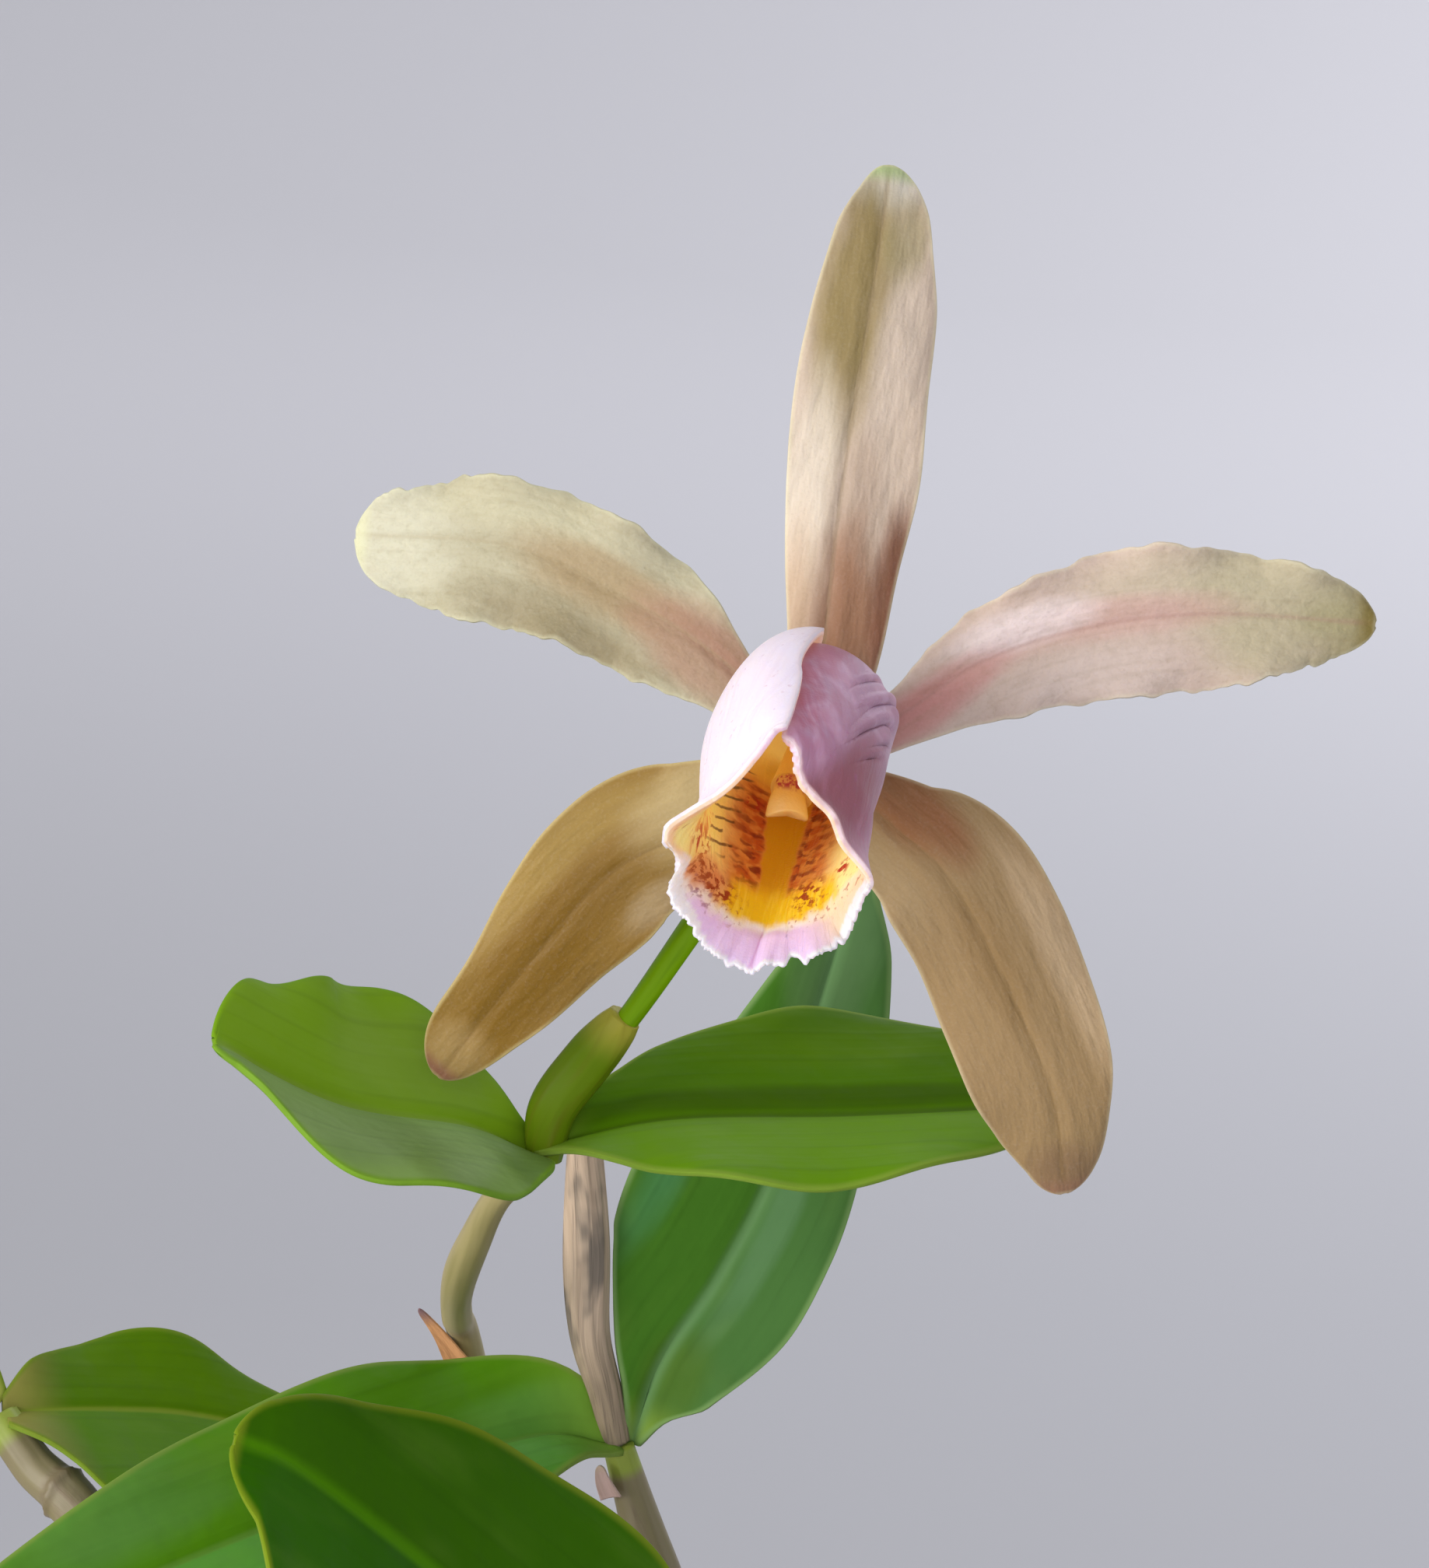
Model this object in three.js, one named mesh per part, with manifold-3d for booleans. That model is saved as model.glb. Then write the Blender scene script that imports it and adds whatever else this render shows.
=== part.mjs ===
// A potted cattleya orchid in flower, in millimetres with +Z up.
// The origin is the middle of the pot's underside, and the bloom faces -Y.
import * as THREE from "three";
import { mergeVertices } from "three/addons/utils/BufferGeometryUtils.js";
import Module from "manifold-3d";

const wasm = await Module();
wasm.setup();

// ---------------------------------------------------------------- driving dimensions
const GAP = 0.3; // clear space between two neighbouring pieces
const POT = {
  height: 95, baseRadius: 43, topRadius: 60, wall: 4, floor: 6,
  bandHeight: 17, bandStep: 2.5, drainRadius: 5, drainCircle: 20, drains: 4, facets: 36,
};
// A chip's size is a drawn share of the full one; its corners, tilt and height are drawn too.
const BARK = {
  top: 82, chips: 42, seed: 7, size: [19, 13.5, 7.5], leastShare: [0.6, 0.6, 0.7], drawnShare: 0.6,
  cornerShift: [2.5, 2.5, 1.2], tilt: 0.7, lift: 0.8, fromWall: 3,
};
const RHIZOME = { radius: 3.2, height: 86.5, sides: 8 };
// A root's route gives the share of its reach, its height and how many sways it has made.
const ROOT = {
  radius: 1.4, count: 8, reach: 24, leastReach: 0.6, limit: 48, sides: 6, steps: 5, seed: 21,
  turn: 2.1, drawnTurn: 0.8, sway: 0.5, route: [[0, 0, 0], [0.3, 1.6, 1], [0.62, 0, 2], [0.9, -9, 3]],
};
const CANE = { sides: 8, steps: 8, ringHeight: 0.55, ringHalf: 1.2, ringSpread: 0.6, facing: [0.3, -1, 0.1] };
const LEAF = { thickness: 1.1, tip: 0.86, rib: 1.0 };
const TEPAL = { thickness: 0.9, tip: 0.86, rib: 1.0 };
const WAVE = { rise: 8, end: 1.02 }; // how fast a margin's wave sets in, and where it has died away
const FLOWER = { centre: [24, -35, 265], lean: 10 };

// ---------------------------------------------------------------- small tools
const radians = THREE.MathUtils.degToRad;
const vector = (p) => new THREE.Vector3(...p);
const clamp01 = (x) => Math.min(1, Math.max(0, x));
const hump = (x, middle, spread) => Math.exp(-(((x - middle) / spread) ** 2));

function randomFrom(seed) {
  let state = seed;
  return () => {
    state = (state * 1664525 + 1013904223) % 4294967296;
    return state / 4294967296;
  };
}

// A smooth value along rows of [place, value, value, ...]; column picks the value.
function ramp(rows, place, column = 1) {
  const last = rows.length - 1;
  const slope = (i) => {
    const a = rows[Math.max(0, i - 1)];
    const b = rows[Math.min(last, i + 1)];
    return (b[column] - a[column]) / (b[0] - a[0]);
  };
  const x = Math.min(rows[last][0], Math.max(rows[0][0], place));
  let i = 0;
  while (i < last - 1 && x > rows[i + 1][0]) i += 1;
  const span = rows[i + 1][0] - rows[i][0];
  const f = (x - rows[i][0]) / span;
  const rise = rows[i + 1][column] - rows[i][column];
  const ease = f * f * (3 - 2 * f);
  const tangents = slope(i) * (f ** 3 - 2 * f * f + f) + slope(i + 1) * (f ** 3 - f * f);
  return rows[i][column] + rise * ease + span * tangents;
}

function curveThrough(points) {
  return new THREE.CatmullRomCurve3(points.map(vector), false, "catmullrom", 0.5);
}

// The same points with both ends pushed outward by a length.
function stretched(points, length) {
  if (length === 0) return points;
  const path = points.map(vector);
  const last = path.length - 1;
  path[0].add(path[0].clone().sub(path[1]).setLength(length));
  path[last].add(path[last].clone().sub(path[last - 1]).setLength(length));
  return path.map((p) => p.toArray());
}

// ---------------------------------------------------------------- closed surfaces
// Rings of equal count, joined in order, each end closed by a fan.
function skin(rings) {
  const count = rings[0].length;
  const positions = rings.flat().flatMap((p) => p.toArray());
  const index = [];
  for (let i = 0; i < rings.length - 1; i += 1) {
    for (let j = 0; j < count; j += 1) {
      const a = i * count + j;
      const b = i * count + ((j + 1) % count);
      index.push(a, b, b + count, a, b + count, a + count);
    }
  }
  const addFan = (start, ring, flipped) => {
    const middle = ring.reduce((sum, p) => sum.add(p), new THREE.Vector3()).divideScalar(count);
    const hub = positions.length / 3;
    positions.push(...middle.toArray());
    for (let j = 0; j < count; j += 1) {
      const a = start + j;
      const b = start + ((j + 1) % count);
      index.push(...(flipped ? [hub, b, a] : [hub, a, b]));
    }
  };
  addFan(0, rings[0], true);
  addFan((rings.length - 1) * count, rings[rings.length - 1], false);
  return indexed(positions, index);
}

function indexed(positions, index) {
  const geometry = new THREE.BufferGeometry();
  geometry.setAttribute("position", new THREE.Float32BufferAttribute(positions, 3));
  geometry.setIndex(index);
  return geometry;
}

// A grid of points made into a sheet of even thickness, split alike on both faces.
function sheet(grid, thickness) {
  const rows = grid.length;
  const columns = grid[0].length;
  const at = (i, j) => grid[Math.min(rows - 1, Math.max(0, i))][Math.min(columns - 1, Math.max(0, j))];
  const normalAt = (i, j) => {
    const along = at(i + 1, j).clone().sub(at(i - 1, j));
    const across = at(i, j + 1).clone().sub(at(i, j - 1));
    return across.cross(along).normalize();
  };
  const positions = [];
  for (const side of [0.5, -0.5]) {
    for (let i = 0; i < rows; i += 1) {
      for (let j = 0; j < columns; j += 1) {
        const p = grid[i][j].clone().addScaledVector(normalAt(i, j), side * thickness);
        positions.push(...p.toArray());
      }
    }
  }
  const under = rows * columns;
  const index = [];
  for (let i = 0; i < rows - 1; i += 1) {
    for (let j = 0; j < columns - 1; j += 1) {
      const a = i * columns + j;
      const b = a + columns;
      index.push(a, a + 1, b + 1, a, b + 1, b);
      index.push(under + a, under + b + 1, under + a + 1, under + a, under + b, under + b + 1);
    }
  }
  const rim = [];
  for (let j = 0; j < columns; j += 1) rim.push(j);
  for (let i = 1; i < rows; i += 1) rim.push(i * columns + columns - 1);
  for (let j = columns - 2; j >= 0; j -= 1) rim.push((rows - 1) * columns + j);
  for (let i = rows - 2; i > 0; i -= 1) rim.push(i * columns);
  rim.forEach((a, k) => {
    const b = rim[(k + 1) % rim.length];
    index.push(a, under + b, b, a, under + a, under + b);
  });
  return indexed(positions, index);
}

// ---------------------------------------------------------------- joins and cuts
function solidOf(geometry) {
  const bare = new THREE.BufferGeometry();
  bare.setAttribute("position", geometry.getAttribute("position").clone());
  if (geometry.index) bare.setIndex(geometry.index.clone());
  const welded = mergeVertices(bare, 1e-5);
  const vertProperties = new Float32Array(welded.getAttribute("position").array);
  const triVerts = new Uint32Array(welded.index.array);
  return new wasm.Manifold(new wasm.Mesh({ numProp: 3, vertProperties, triVerts }));
}

function geometryOf(solid) {
  const mesh = solid.getMesh();
  return indexed(Array.from(mesh.vertProperties), Array.from(mesh.triVerts));
}

// The biggest body of a solid, so that a cut leaves no loose crumbs.
function mainBody(solid) {
  const bodies = solid.decompose();
  return bodies.reduce((best, body) => (body.volume() > best.volume() ? body : best));
}

// Cuts a piece back to a clear gap from each of its neighbours.
function clearOf(piece, neighbours) {
  let solid = solidOf(piece(0));
  for (const neighbour of neighbours) solid = solid.subtract(solidOf(neighbour(GAP)));
  return geometryOf(mainBody(solid));
}

// ---------------------------------------------------------------- stems and blades
// A round stem along a path; a grown copy is fatter and longer by the same amount.
function stem({ path, radius, sides = CANE.sides, steps = CANE.steps, nodes = [], oval = 1 }) {
  return (grow) => {
    const curve = curveThrough(stretched(path, grow));
    const edge = CANE.ringHalf / curve.getLength();
    const places = [];
    for (let i = 0; i <= steps; i += 1) places.push(i / steps);
    for (const node of nodes) places.push(node - edge, node, node + edge);
    places.sort((a, b) => a - b);
    const up = vector(CANE.facing).normalize();
    const rings = places.map((place) => {
      const middle = curve.getPointAt(place);
      const forward = curve.getTangentAt(place);
      const side = up.clone().cross(forward).normalize();
      const front = forward.clone().cross(side);
      const ring = nodes.reduce((sum, node) => sum + hump(place, node, edge * CANE.ringSpread), 0);
      const r = ramp(radius, place) + CANE.ringHeight * ring + grow;
      const points = [];
      for (let k = 0; k < sides; k += 1) {
        const turn = (2 * Math.PI * k) / sides;
        points.push(middle.clone()
          .addScaledVector(side, r * Math.cos(turn))
          .addScaledVector(front, r * oval * Math.sin(turn)));
      }
      return points;
    });
    return skin(rings);
  };
}

const ALONG = [0, 0.07, 0.15, 0.24, 0.34, 0.44, 0.54, 0.63, 0.72, 0.79, 0.86, 0.91, 0.95, 0.98, 0.996];
const ACROSS = [-1, -0.72, -0.36, 0, 0.36, 0.72, 1];

// A leaf or petal: a spine, half-widths left and right of it, and the way its face looks.
// fold bends the halves up along the midrib, and waves move its margins.
function blade({ spine, width, face, fold, waves, type = LEAF }) {
  const slope = Math.tan(radians(fold));
  const facing = vector(face).normalize();
  const halfWidth = (place, side) => {
    const k = clamp01((place - type.tip) / (1 - type.tip));
    return ramp(width, place, side < 0 ? 1 : 2) * Math.sqrt(1 - k * k);
  };
  const waveAt = (place, u) => waves.reduce((sum, wave) => {
    const reach = wave.side && Math.sign(u) !== wave.side ? 0 : Math.abs(u) ** 3;
    const inside = clamp01((place - wave.from) * WAVE.rise) * clamp01((WAVE.end - place) * WAVE.rise);
    return sum + wave.height * reach * inside * Math.sin(2 * Math.PI * wave.count * place + wave.phase);
  }, 0);
  return (grow) => {
    const curve = curveThrough(stretched(spine, grow));
    const grid = ALONG.map((place) => {
      const middle = curve.getPointAt(place);
      const forward = curve.getTangentAt(place);
      const up = facing.clone().addScaledVector(forward, -facing.dot(forward)).normalize();
      const side = forward.clone().cross(up);
      return ACROSS.map((u) => {
        const x = u * (halfWidth(place, u) + grow);
        const lift = slope * (Math.hypot(x, type.rib) - type.rib) + waveAt(place, u);
        return middle.clone().addScaledVector(side, x).addScaledVector(up, lift);
      });
    });
    return sheet(grid, type.thickness + 2 * grow);
  };
}

// ---------------------------------------------------------------- pot and bark
const slopeOfPot = (POT.topRadius - POT.bandStep - POT.baseRadius) / POT.height;
const innerRadius = (z) => POT.baseRadius + slopeOfPot * z - POT.wall;

function lathe(profile, facets) {
  const shape = profile.map(([r, z]) => new THREE.Vector2(r, z));
  return new THREE.LatheGeometry(shape, facets).rotateX(Math.PI / 2);
}

function potGeometry() {
  const bandFoot = POT.height - POT.bandHeight;
  const outer = (z) => POT.baseRadius + slopeOfPot * z;
  const profile = [
    [0, 0], [POT.baseRadius - 1, 0], [outer(1), 1],
    [outer(bandFoot), bandFoot], [outer(bandFoot) + POT.bandStep, bandFoot + 1.5],
    [POT.topRadius, POT.height - 1.2], [POT.topRadius - 1.2, POT.height],
    [innerRadius(POT.height) + 1, POT.height], [innerRadius(POT.height - 1), POT.height - 1],
    [innerRadius(POT.floor), POT.floor], [0, POT.floor],
  ];
  let pot = solidOf(lathe(profile, POT.facets));
  for (let k = 0; k < POT.drains; k += 1) {
    const turn = (2 * Math.PI * (k + 0.5)) / POT.drains;
    const hole = new THREE.CylinderGeometry(POT.drainRadius, POT.drainRadius, 4 * POT.floor, 16);
    hole.rotateX(Math.PI / 2);
    hole.translate(POT.drainCircle * Math.cos(turn), POT.drainCircle * Math.sin(turn), 0);
    pot = pot.subtract(solidOf(hole));
  }
  return geometryOf(pot);
}

// One bark chip: a slab with uneven corners.
function chip(random) {
  const size = BARK.size.map((full, axis) => full * (BARK.leastShare[axis] + BARK.drawnShare * random()));
  const block = new THREE.BoxGeometry(...size);
  block.deleteAttribute("normal");
  block.deleteAttribute("uv");
  const slab = mergeVertices(block);
  const points = slab.getAttribute("position");
  const shifted = (i, axis) => points.getComponent(i, axis) + BARK.cornerShift[axis] * (random() - 0.5);
  for (let i = 0; i < points.count; i += 1) {
    points.setXYZ(i, shifted(i, 0), shifted(i, 1), shifted(i, 2));
  }
  return slab;
}

function barkGeometry(neighbours) {
  const random = randomFrom(BARK.seed);
  const wallAt = (z) => innerRadius(z) - GAP;
  const low = POT.floor + GAP;
  const filled = [[0, low], [wallAt(low), low], [wallAt(BARK.top), BARK.top], [0, BARK.top]];
  const room = [[0, low], [wallAt(low), low], [wallAt(POT.height), POT.height], [0, POT.height]];
  let bark = solidOf(lathe(filled, POT.facets));
  const golden = Math.PI * (3 - Math.sqrt(5));
  for (let k = 0; k < BARK.chips; k += 1) {
    const reach = (wallAt(BARK.top) - BARK.fromWall) * Math.sqrt((k + 0.5) / BARK.chips);
    const slab = chip(random);
    slab.rotateX(BARK.tilt * (random() - 0.5));
    slab.rotateY(BARK.tilt * (random() - 0.5));
    slab.rotateZ(2 * Math.PI * random());
    const height = BARK.top + BARK.lift * random();
    slab.translate(reach * Math.cos(k * golden), reach * Math.sin(k * golden), height);
    bark = bark.add(solidOf(slab));
  }
  bark = bark.intersect(solidOf(lathe(room, POT.facets)));
  for (const neighbour of neighbours) bark = bark.subtract(solidOf(neighbour(GAP)));
  return geometryOf(mainBody(bark));
}

// ---------------------------------------------------------------- rhizome and roots
const FEET = {
  old: [36, 28], back: [18, 22], middle: [4, 19], front: [-9, 15], left: [-32, 10], low: [12, -22],
};
const onRhizome = ([x, y]) => [x, y, RHIZOME.height];
const rhizomeRadius = [[0, RHIZOME.radius * 0.8], [0.5, RHIZOME.radius], [1, RHIZOME.radius * 0.8]];
const creeper = stem({
  path: [FEET.old, FEET.back, FEET.middle, FEET.front, [-20, 11], FEET.left].map(onRhizome),
  radius: rhizomeRadius, sides: RHIZOME.sides, steps: 9, nodes: [0.12, 0.36, 0.62, 0.85],
});
const branch = stem({
  path: [FEET.front, [0, -3], FEET.low].map(onRhizome),
  radius: rhizomeRadius, sides: RHIZOME.sides, steps: 5, nodes: [0.45],
});

function rootStems() {
  const random = randomFrom(ROOT.seed);
  const starts = [FEET.old, FEET.back, FEET.middle, FEET.front, FEET.left, FEET.low];
  const roots = [];
  for (let k = 0; k < ROOT.count; k += 1) {
    const [x, y] = starts[k % starts.length];
    const turn = k * ROOT.turn + ROOT.drawnTurn * random();
    const reach = ROOT.reach * (ROOT.leastReach + (1 - ROOT.leastReach) * random());
    const sway = ROOT.sway * (random() - 0.5);
    const path = ROOT.route.map(([part, height, sways]) => {
      const px = x + reach * part * Math.cos(turn + sways * sway);
      const py = y + reach * part * Math.sin(turn + sways * sway);
      const inside = Math.min(1, ROOT.limit / Math.hypot(px, py));
      return [px * inside, py * inside, RHIZOME.height + height];
    });
    const width = [[0, ROOT.radius], [1, ROOT.radius * 0.7]];
    roots.push(stem({ path, radius: width, sides: ROOT.sides, steps: ROOT.steps }));
  }
  return roots;
}

const underground = [creeper, branch, ...rootStems()];

function rhizomeGeometry() {
  const whole = underground.reduce((sum, piece) => {
    const solid = solidOf(piece(0));
    return sum ? sum.add(solid) : solid;
  }, null);
  return geometryOf(mainBody(whole));
}

// ---------------------------------------------------------------- canes
const CANES = {
  cane_front: {
    path: [onRhizome(FEET.front), [-9.5, 19, 118], [-9, 24.5, 150], [-14.6, 26.5, 181.2],
      [-15.2, 17.5, 189.7], [-14.1, 7.5, 197.2], [-11.5, -3, 205.2], [-8.1, -13, 213.3],
      [-3.3, -20.8, 218.8]],
    radius: [[0, 2.6], [0.22, 4], [0.42, 3.5], [0.58, 2.2], [0.7, 1.9], [0.85, 2.15], [0.95, 2.1], [1, 2.4]],
    steps: 14, nodes: [0.12, 0.28, 0.45, 0.59],
  },
  cane_back: {
    path: [onRhizome(FEET.back), [16, 22, 118], [11, 20.5, 145], [6.4, 19.9, 161.9], [3.7, 19.7, 171.8]],
    radius: [[0, 2.6], [0.4, 4.2], [0.8, 3.4], [1, 2.3]],
    nodes: [0.2, 0.45, 0.7, 0.9],
  },
  cane_left: {
    path: [onRhizome(FEET.left), [-42, 10, 118], [-56.7, 17.4, 159], [-66.5, 22.3, 169.7],
      [-70.5, 25, 174.1]],
    radius: [[0, 2.6], [0.4, 4], [0.8, 3], [1, 2.3]],
    nodes: [0.18, 0.42, 0.66, 0.88],
  },
  cane_low: {
    path: [onRhizome(FEET.low), [12.5, -25, 108], [15, -29.5, 132], [17.2, -32.8, 150]],
    radius: [[0, 2.6], [0.4, 4], [0.85, 3], [1, 2.5]],
    nodes: [0.25, 0.55, 0.85],
  },
  back_bulb: {
    path: [onRhizome(FEET.old), [39, 30, 108], [43, 33, 128], [45, 34.5, 141]],
    radius: [[0, 2.8], [0.4, 4.6], [0.8, 4], [0.96, 2.6], [1, 1.4]],
    nodes: [0.22, 0.5, 0.78],
  },
};
const caneStems = Object.fromEntries(Object.entries(CANES).map(([name, cane]) => [name, stem(cane)]));

// ---------------------------------------------------------------- leaves
const LEAVES = {
  leaf_right: {
    spine: [[-1.6, -20.3, 221.5], [9.9, -19, 223.3], [29.2, -16, 222.9], [52.4, -11, 222.7]],
    width: [[0, 3.5, 2.5], [0.1, 6.5, 7], [0.25, 12.5, 11.5], [0.4, 15, 13.5],
      [0.55, 16.5, 13], [0.7, 15.5, 10.5], [0.85, 11.5, 6.5], [0.95, 8.5, 3.5]],
    face: [0, -0.375, 0.927], fold: 8,
  },
  leaf_left: {
    spine: [[-3.6, -20.9, 219.8], [-10.4, -24.9, 224.2], [-22.8, -32.3, 228.6], [-34.1, -39, 236.6]],
    width: [[0, 2.5, 1.5], [0.1, 9, 4], [0.25, 15.5, 12.5], [0.4, 18, 16],
      [0.55, 17.5, 16], [0.7, 15.5, 14], [0.85, 8, 11], [0.95, 3.5, 11]],
    face: [0, -0.443, 0.896], fold: 17,
  },
  leaf_back: {
    spine: [[5, 20.8, 172.6], [8.5, 21.5, 182.4], [15.4, 21.4, 193.1], [21.5, 20.5, 205.7],
      [25.7, 19.3, 221.9], [31.9, 17.1, 243.8]],
    width: [[0, 2.5, 2.5], [0.1, 4, 8], [0.25, 12.5, 10.5], [0.4, 15.5, 10.5],
      [0.55, 14, 9.5], [0.7, 9, 9], [0.85, 5, 6.5], [0.95, 3, 3.5]],
    face: [0, -1, 0], fold: 8,
  },
  leaf_low: {
    spine: [[3, 19.8, 172.8], [-6.7, 13.3, 176.2], [-27.8, -8, 176.5], [-53.8, -32.7, 174.3],
      [-63.5, -42.9, 174.3]],
    width: [[0, 2.5, 2.5], [0.1, 6, 9], [0.25, 9.5, 13.5], [0.4, 11.5, 14.5],
      [0.55, 13, 13.5], [0.7, 12, 11], [0.85, 9, 8], [0.95, 6, 4.5]],
    face: [0.15, -0.5, 0.85], fold: 12,
  },
  leaf_far: {
    spine: [[-70.2, 25.2, 174.8], [-65.4, 27.2, 174.3], [-57.9, 32, 172.5], [-49.2, 36.6, 170.1],
      [-32.8, 42.7, 164.3]],
    width: [[0, 2, 3.5], [0.1, 6.5, 8], [0.25, 9.5, 18.5], [0.4, 11.5, 18.5],
      [0.55, 11, 17], [0.7, 8, 14.5], [0.85, 5, 9.5], [0.95, 3, 5]],
    face: [0.1, -0.5, 0.85], fold: 10,
  },
  leaf_outer: {
    spine: [[-71.2, 25.4, 174.9], [-79, 25, 180], [-94, 22, 184], [-111, 18, 179], [-126, 14, 167]],
    width: [[0, 2.5, 2.5], [0.1, 7, 6], [0.3, 13, 13], [0.5, 15, 15], [0.7, 12, 12.5],
      [0.88, 7, 7.5], [1, 5, 5]],
    face: [0.15, -0.4, 0.9], fold: 12,
  },
  leaf_front: {
    spine: [[16.9, -33, 151.2], [10.1, -33.6, 157.7], [-8.6, -38.3, 177.2], [-24.7, -44.5, 193.9],
      [-32, -46.7, 198.9]],
    width: [[0, 2.5, 3], [0.1, 8.5, 10], [0.25, 16, 16.5], [0.4, 20.5, 18.5],
      [0.55, 23, 17.5], [0.7, 23, 15], [0.85, 18.5, 10.5], [0.95, 11, 8]],
    face: [0.1, -0.55, 0.83], fold: 8,
  },
  leaf_lowest: {
    spine: [[18, -32.4, 150.8], [27, -31, 149], [43, -27, 142], [61, -22, 130], [74, -18, 114]],
    width: [[0, 2.5, 2.5], [0.1, 7, 6], [0.3, 13.5, 13.5], [0.5, 15.5, 15.5], [0.7, 13, 13],
      [0.88, 7.5, 7], [1, 5, 5]],
    face: [0.35, -0.35, 0.87], fold: 12,
  },
};
const leafWaves = [
  { height: 0.7, count: 2.3, phase: 0.6, side: -1, from: 0.15 },
  { height: 0.6, count: 2.8, phase: 2.2, side: 1, from: 0.15 },
];
const leafBlades = Object.fromEntries(Object.entries(LEAVES)
  .map(([name, leaf]) => [name, blade({ ...leaf, waves: leafWaves })]));

// ---------------------------------------------------------------- flower stalk and sheaths
const drySheath = stem({
  path: [[2.9, 19.9, 174.6], [1.9, 19.9, 179.3], [0.1, 19.4, 187.4], [-0.1, 18.6, 200.3],
    [-0.1, 16.8, 213.3]],
  radius: [[0, 1.7], [0.5, 2.8], [1, 2.4]], steps: 6, nodes: [0.3, 0.8], oval: 0.6,
});
const flowerSheath = stem({
  path: [[-2.9, -20.8, 220.4], [-2.4, -20.8, 225], [1.3, -20.9, 229.7], [5.5, -22.3, 234.9]],
  radius: [[0, 2.3], [0.3, 3.7], [0.7, 3.9], [0.9, 3], [1, 2]], sides: 12, steps: 7, oval: 0.62,
});
const pedicel = stem({
  path: [[-1.7, -20.8, 226], [2.1, -21.2, 230.4], [5.9, -22.6, 235], [11.8, -24.7, 244],
    [18, -25.8, 253.6], [22.6, -28.4, 261], [24, -31.6, 264.6]],
  radius: [[0, 1.1], [0.3, 1.25], [0.75, 1.6], [0.93, 2.1], [1, 2.6]], sides: 10, steps: 10,
});

// ---------------------------------------------------------------- tepals, in the flower's own frame
// X to the right, Y away from the viewer, Z up, from the middle of the bloom.
const TOWARD_VIEWER = [0, -1, 0];
const TEPALS = {
  dorsal_sepal: {
    spine: [[0.6, 1.6, 0.5], [2.8, -1, 22.9], [6.5, -2, 47], [7.9, 1, 57.2]],
    width: [[0, 3.5, 3.5], [0.15, 3.5, 5.5], [0.3, 4.5, 6.5], [0.45, 5.5, 7.5], [0.6, 6, 7],
      [0.75, 5.5, 6.5], [0.87, 4.5, 5], [0.95, 3.5, 4.5]],
    fold: -8,
    waves: [{ height: 0.5, count: 2.5, phase: 0, from: 0.15 }],
  },
  left_petal: {
    spine: [[-1.4, 0, 1.3], [-8.3, 1, 8.7], [-17.5, 2.5, 14.8], [-29.1, 6, 20.3], [-45.5, 13, 22]],
    width: [[0, 2, 2], [0.15, 4.5, 2], [0.3, 6.5, 5], [0.45, 7, 6.5], [0.6, 8, 6.5],
      [0.75, 8, 6.5], [0.87, 6.5, 5], [0.95, 6, 5]],
    fold: 4,
    waves: [{ height: 1.1, count: 4.5, phase: 0.4, side: 1, from: 0.2 },
      { height: 0.9, count: 4, phase: 1.9, side: -1, from: 0.25 }],
  },
  right_petal: {
    spine: [[1.9, 0, 0], [9.1, 0, 3.6], [17, -1, 8.7], [27, -2.5, 11.9], [38.8, -4, 13.1], [54.6, -3, 12.2]],
    width: [[0, 1.5, 2], [0.15, 2.5, 3.5], [0.3, 4.5, 6], [0.45, 6, 7], [0.6, 7, 7.5],
      [0.75, 6, 7], [0.87, 5, 5], [0.95, 4.5, 4]],
    fold: 4,
    waves: [{ height: 1.1, count: 4.5, phase: 2.1, side: -1, from: 0.2 },
      { height: 0.9, count: 4, phase: 0.2, side: 1, from: 0.25 }],
  },
  left_sepal: {
    spine: [[-1.8, 2, -1.9], [-10.2, 3, -7.4], [-18.3, 4.5, -11.2], [-24.5, 6, -17.3], [-37.3, 13, -32.8]],
    width: [[0, 1.5, 1.5], [0.15, 3.5, 6], [0.3, 6, 8], [0.45, 7.5, 7.5], [0.6, 6.5, 6.5],
      [0.75, 5.5, 5], [0.87, 4, 4.5], [0.95, 3.5, 4.5]],
    fold: -6,
    waves: [{ height: 0.5, count: 2.5, phase: 1, from: 0.2 }],
  },
  right_sepal: {
    spine: [[1.6, 2, -2], [8.4, 2, -7.6], [14.7, 2, -14.1], [23.6, 5, -32.6], [25.8, 9, -44.2]],
    width: [[0, 1.5, 1.5], [0.15, 5, 5], [0.3, 8, 7], [0.45, 8.5, 7], [0.6, 8, 7.5],
      [0.75, 7, 7.5], [0.87, 5, 6], [0.95, 4.5, 4.5]],
    fold: -6,
    waves: [{ height: 0.5, count: 2.5, phase: 2.5, from: 0.2 }],
  },
};
const tepalBlades = Object.fromEntries(Object.entries(TEPALS)
  .map(([name, tepal]) => [name, blade({ ...tepal, face: TOWARD_VIEWER, type: TEPAL })]));

// ---------------------------------------------------------------- column, in the flower's frame
const column = stem({
  path: [[0.4, 2.6, 1.4], [0.2, -4, 1.4], [-0.8, -12, -0.6], [-2.1, -18.6, -4]],
  radius: [[0, 2.6], [0.3, 1.8], [0.7, 1.8], [1, 2.1]], sides: 12, steps: 8, oval: 0.85,
});
const antherCap = stem({
  path: [[-2.2, -19.6, -2.5], [-2.3, -19.9, -3.8], [-2.5, -20.3, -5.2], [-2.6, -20.5, -6.6]],
  radius: [[0, 1], [0.2, 1.4], [0.5, 1.75], [0.85, 2.05], [1, 1.5]], sides: 12, steps: 5, oval: 0.62,
});

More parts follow.
